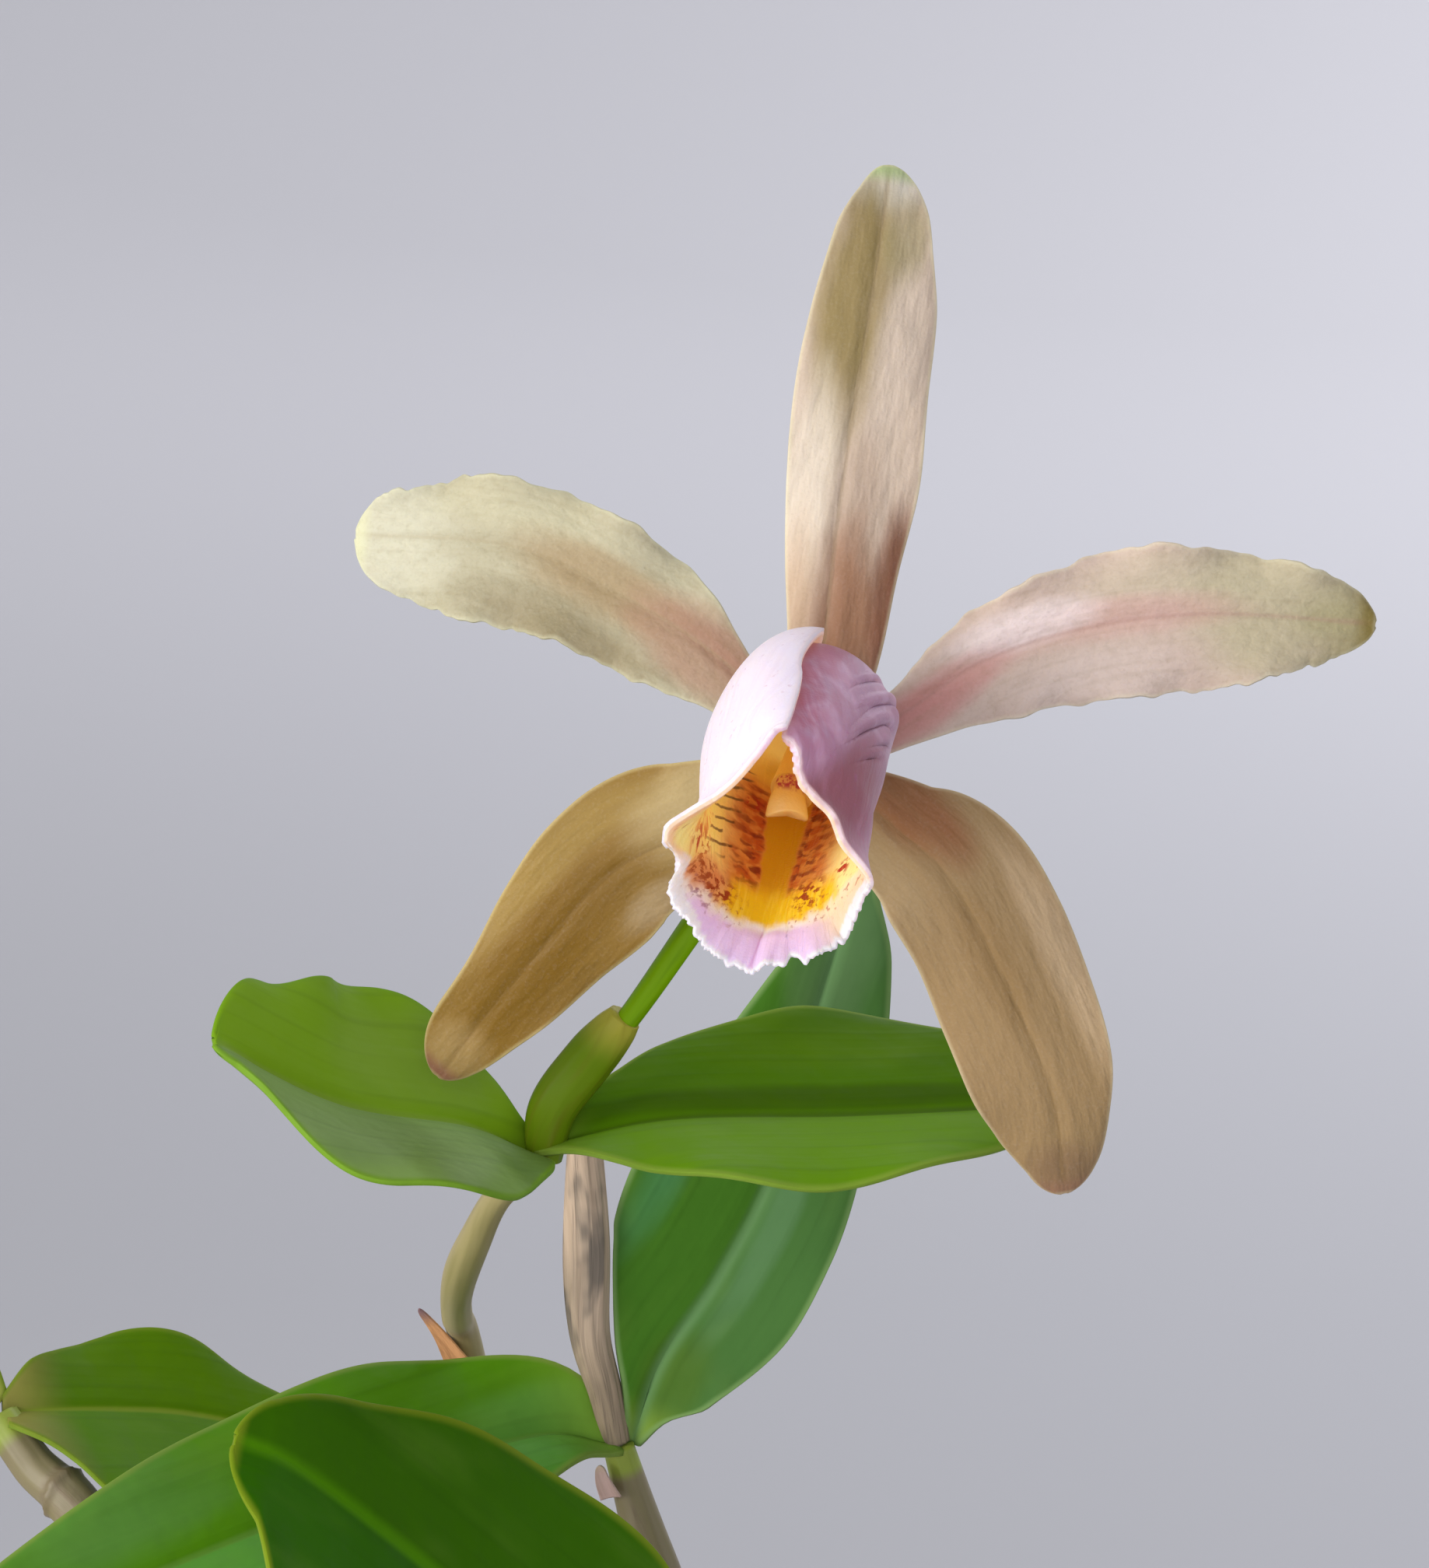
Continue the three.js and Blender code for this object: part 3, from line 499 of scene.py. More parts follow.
@dataclass(frozen=True)
class Finish:
    """A procedural material, made once and shared by the pieces that wear it."""

    name: str

    def material(self) -> bpy.types.Material:
        """The material, built the first time that it is asked for."""
        found = bpy.data.materials.get(self.name)
        if found:
            return found
        made = bpy.data.materials.new(self.name)
        made.use_nodes = True
        made.node_tree.nodes.clear()
        bench = Bench(made.node_tree)
        bench.add(Node.SURFACE, self.surface(bench))
        return made

    def surface(self, bench: Bench) -> Socket:
        """Paints the finish and gives its shader's output."""
        raise NotImplementedError


@dataclass(frozen=True)
class TepalTissue(Finish):
    """Living sepal and petal tissue: grown, waxy and finely celled, with pigment in soft patches, a few of
    which are painted light or shade.

    Its cells of about 0.3 mm give the face a faint crystalline grain, their raised tops whitened as painted
    glints and their hollows darkened as painted shade; long puckers catch the side light, their hollows also
    darkened with painted shade; and a little light goes through the thin blade.
    """

    blade: str
    rim: str
    rib: str
    tip: str
    stains: Sequence[Stain]
    rim_mm: float = 0.5
    rim_amount: float = 0.5
    rib_mm: float = 0.5
    rib_amount: float = 0.4
    tip_share: Sequence[float] = (0.955, 0.99)
    tip_amount: float = 0.8
    sway: float = 0.9
    clouds: Grain = Grain("#000000", 0, (3, 9, 9))
    veins: Grain = Grain("#7f6b45", 0.1, (1, 40, 9), 0.5, 0.72, 1)
    # its colour darkens the puckers' hollows: painted shade
    puckers: Grain = Grain("#7f6b45", 0.08, (1, 3.6, 9), 0.55, 0.25)
    # painted glints whiten the cells' raised tops and painted shade darkens the hollows between them, on the
    # relief's own pattern
    painted_glints: Grain = Grain("#ffffff", 0.02, (0.3, 0.3, 0.3), 0.5, 0.75, 1)
    painted_cell_shade: Grain = Grain("#6e5a3a", 0.08, (0.3, 0.3, 0.3), 0.45, 0.25, 1)
    relief_mm: float = 0.2
    cell_relief: float = 0.12

    def surface(self, bench: Bench) -> Socket:
        """Lays stains, veins, midrib, tip, margin and cells over the blade's colour."""
        add = bench.add
        dye = Dye(bench, self.blade)
        sway = add(Node.TIMES_PLUS, self.clouds.pattern(bench, bench.mm), self.sway, -self.sway / 2)
        for stain in self.stains:
            stain.lay_on(dye, sway)
        self.veins.lay_on(dye, bench.mm)
        # the puckers' colour is painted shade in their hollows; the same pattern raises the relief
        puckers = self.puckers.lay_on(dye, bench.mm)
        from_rib = add(Node.SIZE, bench.across)
        dye.lay(self.rib, add(Node.BAND, from_rib, self.rib_mm, 0.0, 0.0, self.rib_amount))
        dye.lay(self.tip, add(Node.BAND, bench.share, *self.tip_share, 0.0, self.tip_amount))
        dye.lay(self.rim, add(Node.BAND, bench.edge, self.rim_mm, 0.0, 0.0, self.rim_amount))
        # painted glints on the cells' tops and painted shade in their hollows, from the same pattern as the
        # relief
        cells = self.painted_glints.lay_on(dye, bench.body)
        self.painted_cell_shade.lay_on(dye, bench.body)
        height = add(Node.TIMES_PLUS, cells, self.cell_relief, puckers)
        return add(Node.SHADER, Base_Color=dye.colour, Roughness=0.5, IOR=1.4, Specular_IOR_Level=0.28,
                   Subsurface_Weight=0.15, Subsurface_Radius=(1.2, 0.9, 0.5), Subsurface_Scale=MM,
                   Sheen_Weight=0.05, Normal=add(Node.RELIEF, Height=height, Distance=self.relief_mm * MM))


@dataclass(frozen=True)
class PetalTissue(TepalTissue):
    """Living petal tissue, grown as the sepals' but with fainter, finer veins and rounder puckers."""

    veins: Grain = Grain("#8a7850", 0.1, (0.8, 40, 9), detail=1)
    # its colour darkens the puckers' hollows: painted shade
    puckers: Grain = Grain("#7f6b45", 0.12, (1, 1.4, 9), 0.55, 0.25)


class By(Enum):
    """What a span on the lip is measured by."""

    TURN = "degrees round the roll, minus to the left"
    ROUND = "the same to either side"
    SWAYED = "the turn, swayed"
    OFF = "degrees from the channel's middle"
    BESIDE = "degrees outward from the channel's edge, swayed"
    FOLD = "degrees from the fold down the front lobe"
    ALONG = "millimetres from the base"
    FRONT = "millimetres from the base, swayed"
    OUTER = "the same, and more beside the channel"
    BAR = "from a dark bar's middle, as a share of their spacing"
    RUNG = "from a rung's middle, as a share of theirs"
    EDGE = "millimetres to the margin"
    MARGIN = "the same, and less on the front lobe's sides"
    SIDE = "1 inside, -1 outside"


@dataclass(frozen=True)
class Tint:
    """A colour or a pattern on the lip, and the soft spans that it lies in.

    A span gives what it is measured by, where the tint begins and where it is full, and then its shares at
    both where they aren't 0 and 1.
    """

    colour: Union[str, Grain]
    spans: Sequence[tuple]
    amount: float = 1.0

    def zone(self, bench: Bench, measures: dict[By, Link]) -> Link:
        """How strongly each place takes the tint."""
        return bench.within(*((measures[by], *span) for by, *span in self.spans), amount=self.amount)

    def lay_on(self, dye: Dye, measures: dict[By, Link]) -> None:
        """Lays the tint over a colour."""
        zone = self.zone(dye.bench, measures)
        if isinstance(self.colour, Grain):
            self.colour.lay_on(dye, dye.bench.mm, zone)
        else:
            dye.lay(self.colour, zone)


@dataclass(frozen=True)
class Patch:
    """A ragged patch on the lip: its middle and reach in degrees round the roll and in millimetres along."""

    turn: float
    along: float
    wide: float
    long: float
    colour: str


@dataclass(frozen=True)
class LipTissue(Finish):
    """Living lip tissue, grown so thin that light glows through it, with a painted glow added in the throat.

    Outside it is lilac white, and mauve round the right side, partly painted shade there. Inside, a smooth
    amber channel runs down a golden throat, with red-brown blotches beside it and thin dark rungs of painted
    shade up the left wall. A yellow patch, a lilac front and a white margin follow.
    """

    channel_start: float = 13.2  # the channel's middle lies this many degrees left at the base
    channel_turn: float = 0.35  # degrees by which it turns right with each millimetre
    channel_half: float = 18.1
    channel_narrows: float = 0.355  # degrees that it loses with each millimetre
    fold_at: float = -3.6  # in degrees
    bar_mm: float = 1.9  # from one dark bar beside the channel to the next
    rung_mm: float = 2.0  # and from one rung to the next
    rung_slope: float = 0.12  # millimetres by which a rung rises with each degree
    sway: Grain = Grain("#000000", 0, (2.4, 2.4, 9), detail=2)
    channel_sway: float = 7.0  # degrees by which it bends the channel's edge
    wall_sway: float = 30.0  # and the rungs' ends
    rung_sway: float = 0.8  # millimetres by which it bends the rungs
    front_sway: float = 2.6  # and the front's colours
    beside_front: Sequence[float] = (14.0, 40.0)  # degrees beside the channel where the front begins sooner
    beside_front_mm: float = 0.8  # and by how much
    lobe_sides: Rows = ((20.0, 45.0), (78.0, 62.0))  # degrees off the channel where the margin is wider
    lobe_sides_mm: float = 1.2  # and by how much

    golden: str = "#f6e09a"
    BLOTCHED = ((By.BESIDE, -1, 3), (By.BESIDE, 36, 5), (By.ALONG, 8, 12), (By.FRONT, 30, 26.5))
    YELLOW = ((By.TURN, -37, -28), (By.TURN, 48, 38), (By.FRONT, 24.5, 28.2))
    inner: Sequence[Tint] = (
        Tint("#cc7a20", ((By.BESIDE, 44, 12),), 0.9),  # the walls deepen towards the channel
        Tint("#f0cc70", ((By.ALONG, 13, 6),), 0.9),  # and are paler at the base, partly their own yellow and partly painted light that lifts the throat out of the roll's shade
        Tint(Grain("#b44a0c", 0.9, (3, 1.6, 9), 0.4, 0.6, 2), BLOTCHED),
        Tint(Grain("#7e2206", 0.9, (2.2, 1.2, 9), 0.44, 0.56, 2),
             (*BLOTCHED, (By.BAR, 0.42, 0.16, 0.2, 1))),
        Tint("#5a2208", ((By.RUNG, 0.16, 0.06), (By.SWAYED, -40, -46), (By.SWAYED, -68, -61),
                         (By.ALONG, 7.5, 9), (By.ALONG, 25.5, 23.5)), 0.9),  # the rungs: painted shade of grooves between ridges up the wall
        Tint("#c89206", ((By.BESIDE, 1.6, -1.4),)),  # the amber channel
        Tint("#e6b808", YELLOW),
        Tint(Grain("#ffe05a", 0.3, (0.8, 7, 9), 0.45, 0.65, 2), YELLOW),
        Tint("#d6925f", ((By.TURN, -32, -44), (By.TURN, -70, -58), (By.OUTER, 25.5, 29))),  # tan, on the left
        Tint("#f3e2e0", ((By.OUTER, 30.6, 32.4),)),  # a pale band before the front
        Tint("#e8c6ee", ((By.OUTER, 32, 33.8),)),  # the lilac front
        Tint("#ecd0a4", ((By.TURN, 14, 36), (By.OUTER, 30.4, 32.6)), 0.85),  # cream on its right
        Tint("#c48fc0", ((By.FOLD, 1.4, 0.3), (By.ALONG, 31, 33.5)), 0.55),  # the fold's dark line, painted shade in the fold
        Tint(Grain("#9a4a34", 0.65, (0.8, 0.8, 9), 0.58, 0.7, 1.5),
             ((By.OUTER, 27.5, 29.5), (By.OUTER, 34.2, 32.4), (By.BESIDE, 4, 9))),
        Tint(Grain("#86416c", 0.6, (1.1, 1, 9), 0.5, 0.66, 2),
             ((By.TURN, -26, -38), (By.OUTER, 29.8, 31.3), (By.OUTER, 35.5, 33.5), (By.EDGE, 1.2, 2.6))))
    patches: Sequence[Patch] = (
        Patch(-78, 24.5, 20, 5, "#d8883a"), Patch(-76, 27.2, 10, 1.8, "#b3260f"),
        Patch(47, 26.4, 10, 1.7, "#a81f10"), Patch(-33, 13.5, 8, 1.6, "#a8240f"),
        Patch(-38, 29, 16, 2.4, "#983410"), Patch(-53, 28.2, 12, 2.4, "#a04a26"),
        Patch(22, 27.6, 14, 3.6, "#94380a"), Patch(-64, 25.6, 9, 2.4, "#b85c24"))
    rags: Grain = Grain("#000000", 0, (1.4, 1, 9), 0.49, 0.57, 3, 0.6)
    margins: Sequence[Tint] = (
        Tint("#efe4e8", ((By.MARGIN, 0.75, 0),), 0.95),
        Tint("#f2c09c", ((By.OFF, 64, 74), (By.EDGE, 1.5, 0.4)), 0.8),  # an apricot rim on the side lobes
        Tint("#ecc6e0", ((By.ROUND, 125, 150), (By.EDGE, 3.2, 1.6))))  # and a lilac one high on the roll

    lilac_white: str = "#f2e2f2"
    outer: Sequence[Tint] = (
        Tint("#ae86a2", ((By.TURN, 20, 96),), 0.95),  # mauve round the right, partly the lobe's own pink and partly painted shade
        Tint(Grain("#d3b4d0", 0.5, (3, 4, 9), 0.48, 0.66), ((By.TURN, 20, 96),), 0.95),
        # painted shade: the right lobe darker and browner down into its shadowed fold
        Tint("#8c5054", ((By.TURN, 60, 100), (By.TURN, 138, 116), (By.ALONG, 14, 24)), 0.8),
        Tint(Grain("#ac5a72", 0.6, (1.8, 2.4, 9), 0.22, 0.6, 2),
             ((By.TURN, 122, 160), (By.EDGE, 0.4, 2.2))))  # the blush: painted light, the throat's glow showing pink-red through the thin lobe
    outer_veins: Grain = Grain("#b87fa4", 0.1, (1, 12, 9), 0.5, 0.72)
    specks: Grain = Grain("#a9668f", 0.3, (0.8, 0.8, 0.8), 0.64, 0.76)
    outer_rim: Tint = Tint("#f0d8de", ((By.EDGE, 0.7, 0.2),), 0.7)
    painted_glow: Tint = Tint("#f8d070", (  # painted glow: an emission that stands in for daylight coming through the roll into the throat
        (By.ROUND, 34, 80), (By.ALONG, 30, 20), (By.SIDE, SIDE_BLEND, -SIDE_BLEND)), 0.24)
    cells: Grain = Grain("#ffffff", 0, (0.28, 0.28, 0.28), detail=1)
    veins: Grain = Grain("#ffffff", 0, (0.8, 9, 9))
    relief_mm: float = 0.14
    cell_relief: float = 0.3

    def surface(self, bench: Bench) -> Socket:
        """Paints both faces of the lip and blends them by side."""
        add = bench.add
        measures = self.measures(bench)
        dye = self.inside(bench, measures)
        dye.lay(self.outside(bench, measures).colour, add(Node.BAND, bench.side, -SIDE_BLEND, SIDE_BLEND))
        height = add(Node.TIMES_PLUS, self.cells.pattern(bench, bench.body), self.cell_relief,
                     self.veins.pattern(bench, bench.mm))
        # the emission is the painted glow in the throat
        return add(Node.SHADER, Base_Color=dye.colour, Roughness=0.42, IOR=1.4, Specular_IOR_Level=0.3,
                   Subsurface_Weight=0.8, Subsurface_Radius=(2.1, 1.7, 1.2), Subsurface_Scale=MM,
                   Sheen_Weight=0.05, Emission_Color=linear(self.painted_glow.colour),
                   Emission_Strength=self.painted_glow.zone(bench, measures),
                   Normal=add(Node.RELIEF, Height=height, Distance=self.relief_mm * MM))

    def measures(self, bench: Bench) -> dict[By, Link]:
        """Works out what the spans are measured by."""
        add = bench.add
        sway = add(Node.MINUS, self.sway.pattern(bench, bench.mm), 0.5)
        middle = add(Node.TIMES_PLUS, bench.along, self.channel_turn, -self.channel_start)
        off = add(Node.SIZE, add(Node.MINUS, bench.turn, middle))
        half = add(Node.TIMES_PLUS, bench.along, -self.channel_narrows, self.channel_half)
        beside = add(Node.MINUS, add(Node.TIMES_PLUS, sway, self.channel_sway, off), half)
        front = add(Node.TIMES_PLUS, sway, self.front_sway, bench.along)
        nearer = add(Node.BAND, beside, *self.beside_front)
        rise = add(Node.TIMES_PLUS, bench.turn, self.rung_slope, bench.along)
        found = {
            By.TURN: bench.turn, By.ALONG: bench.along, By.EDGE: bench.edge, By.SIDE: bench.side,
            By.OFF: off, By.BESIDE: beside, By.FRONT: front,
            By.ROUND: add(Node.SIZE, bench.turn),
            By.SWAYED: add(Node.TIMES_PLUS, sway, self.wall_sway, bench.turn),
            By.FOLD: add(Node.SIZE, add(Node.MINUS, bench.turn, self.fold_at)),
            By.OUTER: add(Node.TIMES_PLUS, nearer, self.beside_front_mm, front),
            By.MARGIN: add(Node.TIMES_PLUS, bench.within(*((off, *span) for span in self.lobe_sides)),
                           -self.lobe_sides_mm, bench.edge),
        }
        rungs = add(Node.TIMES_PLUS, sway, self.rung_sway, rise)
        for by, height, spacing in ((By.BAR, front, self.bar_mm), (By.RUNG, rungs, self.rung_mm)):
            part = add(Node.FRACTION, add(Node.TIMES, height, 1 / spacing))
            found[by] = add(Node.SIZE, add(Node.MINUS, part, 0.5))
        return found

    def inside(self, bench: Bench, measures: dict[By, Link]) -> Dye:
        """The inner face, from the throat's walls to the white margin.

        Args:
            bench: the finish's node workbench.
            measures: the link for each measure of the lip.

        Returns:
            The dye with the face's colour.
        """
        dye = Dye(bench, self.golden)
        for tint in self.inner:
            tint.lay_on(dye, measures)
        ragged = bench.add(Node.BAND, self.rags.pattern(bench, bench.mm), self.rags.starts, self.rags.full)
        for patch in self.patches:
            across = bench.add(Node.SIZE, bench.add(Node.MINUS, bench.turn, patch.turn))
            along = bench.add(Node.SIZE, bench.add(Node.MINUS, bench.along, patch.along))
            dye.lay(patch.colour, bench.within((across, patch.wide, patch.wide / 3),
                                               (along, patch.long, patch.long / 3), amount=ragged))
        for tint in self.margins:
            tint.lay_on(dye, measures)
        return dye

    def outside(self, bench: Bench, measures: dict[By, Link]) -> Dye:
        """The outer face: lilac white on the left, mauve and blushing on the right, a cream rim."""
        dye = Dye(bench, self.lilac_white)
        for tint in self.outer:
            tint.lay_on(dye, measures)
        self.outer_veins.lay_on(dye, bench.mm)
        self.specks.lay_on(dye, bench.body)
        self.outer_rim.lay_on(dye, measures)
        return dye


@dataclass(frozen=True)
class ColumnWax(Finish):
    """Column tissue, grown solid and waxy: cream to yellow, flushed and spotted red on its cap."""

    top: str = "#e4b868"
    flush: str = "#b8404a"
    flush_at: float = 2.0
    flush_reach: float = 0.2
    lower: str = "#e4b868"
    lower_share: Sequence[float] = (0.5, 0.85)
    spots: Grain = Grain("#ffffff", 1, (0.5, 0.5, 0.5), 0.42, 0.56)
    between: float = 0.25  # how strong the flush is between its spots
    cells: Grain = Grain("#ffffff", 0, (0.3, 0.3, 0.3))
    relief_mm: float = 0.05

    def surface(self, bench: Bench) -> Socket:
        """Flushes and spots a band of it, and pales its lower end."""
        add = bench.add
        dye = Dye(bench, self.top)
        dye.lay(self.lower, add(Node.BAND, bench.share, *self.lower_share))
        off = add(Node.SIZE, add(Node.MINUS, bench.share, self.flush_at))
        spots = self.spots.pattern(bench, bench.body)
        dye.lay(self.flush, bench.within((off, self.flush_reach, self.flush_reach / 3),
                                         (spots, self.spots.starts, self.spots.full, self.between, 1.0)))
        relief = add(Node.RELIEF, Height=self.cells.pattern(bench, bench.body), Distance=self.relief_mm * MM)
        return add(Node.SHADER, Base_Color=dye.colour, Roughness=0.35, Subsurface_Weight=0.35,
                   Subsurface_Radius=(1.2, 0.8, 0.4), Subsurface_Scale=MM, Normal=relief)


@dataclass(frozen=True)
class LeafCuticle(Finish):
    """A thick evergreen leaf, grown with a waxy cuticle: satin, with faint long veins and pale margins."""

    # the greens of the two halves; on the upper leaves the near half carries painted sheen
    left: str
    right: str
    stains: Sequence[Stain] = ()
    rib: str = "#7c8f2a"
    rim: str = "#6b8420"
    foot: str = "#8aa02c"
    under: str = "#7d9a52"
    rib_mm: float = 0.9
    rib_full_mm: float = 0.15
    rib_amount: float = 0.7
    rim_mm: float = 0.9
    rim_full_mm: float = 0.1
    rim_amount: float = 0.8
    under_amount: float = 0.6
    foot_end: float = 0.14
    foot_amount: float = 0.85
    half_blend_mm: float = 0.8
    sway: float = 1.2
    dark: Grain = Grain("#1c3a08", 0.12, (6, 18, 9), 0.5, 0.78, 2)
    light: Grain = Grain("#8fae48", 0.1, (7, 16, 9), 0.5, 0.76, 2)
    veins: Grain = Grain("#1f3d0a", 0.1, (1.3, 60, 9), 0.52, 0.7, 1.5)
    wax: Grain = Grain("#ffffff", 0, (12, 12, 12), detail=3)
    gloss: Sequence[float] = (0.3, 0.7, 0.38, 0.5)  # two values of the wax, and the roughness at each
    ripple: Grain = Grain("#ffffff", 0, (5, 5, 5))
    relief_mm: float = 0.3
    vein_relief: float = 0.35

    def surface(self, bench: Bench) -> Socket:
        """Lays halves, stains, veins, foot, rib, underside and rim."""
        add = bench.add
        dye = Dye(bench, self.left)
        dye.lay(self.right, add(Node.BAND, bench.across, -self.half_blend_mm, self.half_blend_mm))
        sway = add(Node.TIMES_PLUS, self.dark.pattern(bench, bench.mm), self.sway, -self.sway / 2)
        for stain in self.stains:
            stain.lay_on(dye, sway)
        self.dark.lay_on(dye, bench.mm)
        self.light.lay_on(dye, bench.mm)
        veins = self.veins.lay_on(dye, bench.mm)
        dye.lay(self.foot, add(Node.BAND, bench.share, self.foot_end, 0.0, 0.0, self.foot_amount))
        from_rib = add(Node.SIZE, bench.across)
        dye.lay(self.rib, add(Node.BAND, from_rib, self.rib_mm, self.rib_full_mm, 0.0, self.rib_amount))
        dye.lay(self.under, add(Node.BAND, bench.side, SIDE_BLEND, -SIDE_BLEND, 0.0, self.under_amount))
        dye.lay(self.rim, add(Node.BAND, bench.edge, self.rim_mm, self.rim_full_mm, 0.0, self.rim_amount))
        gloss = add(Node.BAND, self.wax.pattern(bench, bench.body), *self.gloss)
        height = add(Node.TIMES_PLUS, veins, self.vein_relief, self.ripple.pattern(bench, bench.body))
        return add(Node.SHADER, Base_Color=dye.colour, Roughness=gloss, IOR=1.42, Specular_IOR_Level=0.05,
                   Subsurface_Weight=0.05, Subsurface_Radius=(0.5, 1.0, 0.3), Subsurface_Scale=MM,
                   Normal=add(Node.RELIEF, Height=height, Distance=self.relief_mm * MM))


@dataclass(frozen=True)
class StemSkin(Finish):
    """The skin of a green stem, grown with a thin coat of wax: satin and finely streaked lengthwise."""

    top: str
    foot: str
    streaks: Grain
    foot_end: float = 0.0
    top_from: float = 0.5
    rough: float = 0.42
    relief_mm: float = 0.12

    def surface(self, bench: Bench) -> Socket:
        """Grades the skin from foot to top and streaks it."""
        add = bench.add
        dye = Dye(bench, self.top)
        dye.lay(self.foot, add(Node.BAND, bench.share, self.top_from, self.foot_end))
        streaks = self.streaks.lay_on(dye, bench.mm)
        return add(Node.SHADER, Base_Color=dye.colour, Roughness=self.rough, Specular_IOR_Level=0.15,
                   Subsurface_Weight=0.05, Subsurface_Scale=MM,
                   Normal=add(Node.RELIEF, Height=streaks, Distance=self.relief_mm * MM))


@dataclass(frozen=True)
class DryBract(Finish):
    """Dead sheath tissue, dried as thin as paper: bleached fibres lengthwise, with grey weathered patches."""

    pale: str = "#c6af98"
    fibres: Grain = Grain("#96806a", 0.45, (0.8, 14, 99), 0.35, 0.75, 2)
    weather: Grain = Grain("#5f5a54", 0.75, (3.2, 9, 99), 0.5, 0.66, 2)
    tip: str = "#c6af98"
    tip_share: Sequence[float] = (0.7, 1.0)  # where the colour of one end begins, and where it is full
    tip_amount: float = 0.85
    relief_mm: float = 0.3

    def surface(self, bench: Bench) -> Socket:
        """Draws fibres, weathered patches and the end of another colour."""
        add = bench.add
        dye = Dye(bench, self.pale)
        fibres = self.fibres.lay_on(dye, bench.mm)
        self.weather.lay_on(dye, bench.mm)
        if self.tip != self.pale:
            dye.lay(self.tip, add(Node.BAND, bench.share, *self.tip_share, 0.0, self.tip_amount))
        return add(Node.SHADER, Base_Color=dye.colour, Roughness=0.8,
                   Normal=add(Node.RELIEF, Height=fibres, Distance=self.relief_mm * MM))


@dataclass(frozen=True)
class CaneRind(Finish):
    """A cane's rind: hard and satin where it is bare, with papery grey-tan sheaths dried on lower down."""

    rind: str
    ring: str
    ring_amount: float
    paper_below: float  # the share of the length below which it is papery
    streaks: Grain = Grain("#6f6a30", 0.35, (1.3, 20, 99), 0.4, 0.75, 2)
    paper: str = "#b3a588"
    fibres: Grain = Grain("#6f5d43", 0.7, (0.7, 12, 99), 0.4, 0.68, 3, 0.6)
    ring_mm: float = 1.6
    ring_full_mm: float = 0.2
    collar: str = "#8c9c36"
    collar_from: float = 1.0  # the share above which the growing leaves tint it
    collar_blend: float = 0.02
    ragged: Grain = Grain("#000000", 0, (4, 4, 9), detail=3)
    ragged_share: float = 0.5
    thins: Sequence[float] = (0.3, 0.15)  # shares by which the paper is gone above that, and still whole
    relief_mm: float = 0.12

    def surface(self, bench: Bench) -> Socket:
        """Puts dry sheaths over the rind and a brown ring at each joint."""
        add = bench.add
        dye = Dye(bench, self.rind)
        self.streaks.lay_on(dye, bench.mm)
        height = add(Node.TIMES_PLUS, self.ragged.pattern(bench, bench.body), self.ragged_share, bench.share)
        dry = add(Node.BAND, height, *(self.paper_below + share for share in self.thins))
        dye.lay(self.paper, dry)
        fibres = self.fibres.lay_on(dye, bench.mm, dry)
        dye.lay(self.ring, add(Node.BAND, bench.edge, self.ring_mm, self.ring_full_mm, 0.0, self.ring_amount))
        full = self.collar_from + self.collar_blend
        dye.lay(self.collar, add(Node.BAND, bench.share, self.collar_from, full))
        return add(Node.SHADER, Base_Color=dye.colour, Roughness=0.5,
                   Normal=add(Node.RELIEF, Height=add(Node.TIMES, fibres, dry), Distance=self.relief_mm * MM))


@dataclass(frozen=True)
class Layered(Finish):
    """A matt ground under layers of random patterns, one of which is also its relief."""

    ground: str
    grains: Sequence[Grain]
    by_piece: bool = False  # whether the first two patterns follow each chip's own coordinates
    rough: float = 0.88
    relief_mm: float = 0.3

    def surface(self, bench: Bench) -> Socket:
        """Lays the patterns in order, and raises the first as relief."""
        dye = Dye(bench, self.ground)
        patterns = [grain.lay_on(dye, bench.mm if self.by_piece and k < 2 else bench.body)
                    for k, grain in enumerate(self.grains)]
        relief = bench.add(Node.RELIEF, Height=patterns[0], Distance=self.relief_mm * MM)
        return bench.add(Node.SHADER, Base_Color=dye.colour, Roughness=self.rough, Normal=relief)


@dataclass(frozen=True)
class Velamen(Layered):
    """Orchid root skin, grown as a spongy silver-white layer: matt, with green and brown showing through."""

    ground: str = "#c3bfa6"
    grains: Sequence[Grain] = (
        Grain("#a79f84", 0.4, (0.6, 0.6, 0.6), 0.5, 0.7, 3),
        Grain("#7d8450", 0.8, (5, 5, 5), 0.48, 0.66, 3),
        Grain("#7a5c3c", 0.8, (3, 3, 3), 0.52, 0.66, 4))
    rough: float = 0.8
    relief_mm: float = 0.25


@dataclass(frozen=True)
class PineBark(Layered):
    """Pine bark, broken and graded: layered cork plates of 1 mm, red-brown where split, grey outside."""

    ground: str = "#6b4227"
    grains: Sequence[Grain] = (
        Grain("#2f1c10", 0.9, (6, 6, 1.1), 0.46, 0.6, 4, 0.6),
        Grain("#a06a3e", 0.8, (6, 6, 1.1), 0.42, 0.3, 4, 0.6),
        Grain("#85776a", 0.65, (8, 8, 8), 0.52, 0.68, 4))
    by_piece: bool = True
    rough: float = 0.9
    relief_mm: float = 0.9


@dataclass(frozen=True)
class Terracotta(Layered):
    """Red clay, thrown on a wheel and fired unglazed: fine turning rings, damp shade, salts and grit."""

    ground: str = "#b4694a"
    grains: Sequence[Grain] = (
        Grain("#a35c40", 0.3, (90, 90, 0.9), 0.5, 0.7),
        Grain("#8f4a31", 0.75, (26, 26, 18), 0.42, 0.66, 4),
        Grain("#c98a68", 0.6, (11, 11, 5), 0.55, 0.72, 4),
        Grain("#ddcbb8", 0.75, (9, 9, 14), 0.58, 0.74, 5, 0.65),
        Grain("#6d3623", 0.6, (0.7, 0.7, 0.7), 0.66, 0.74, 3))


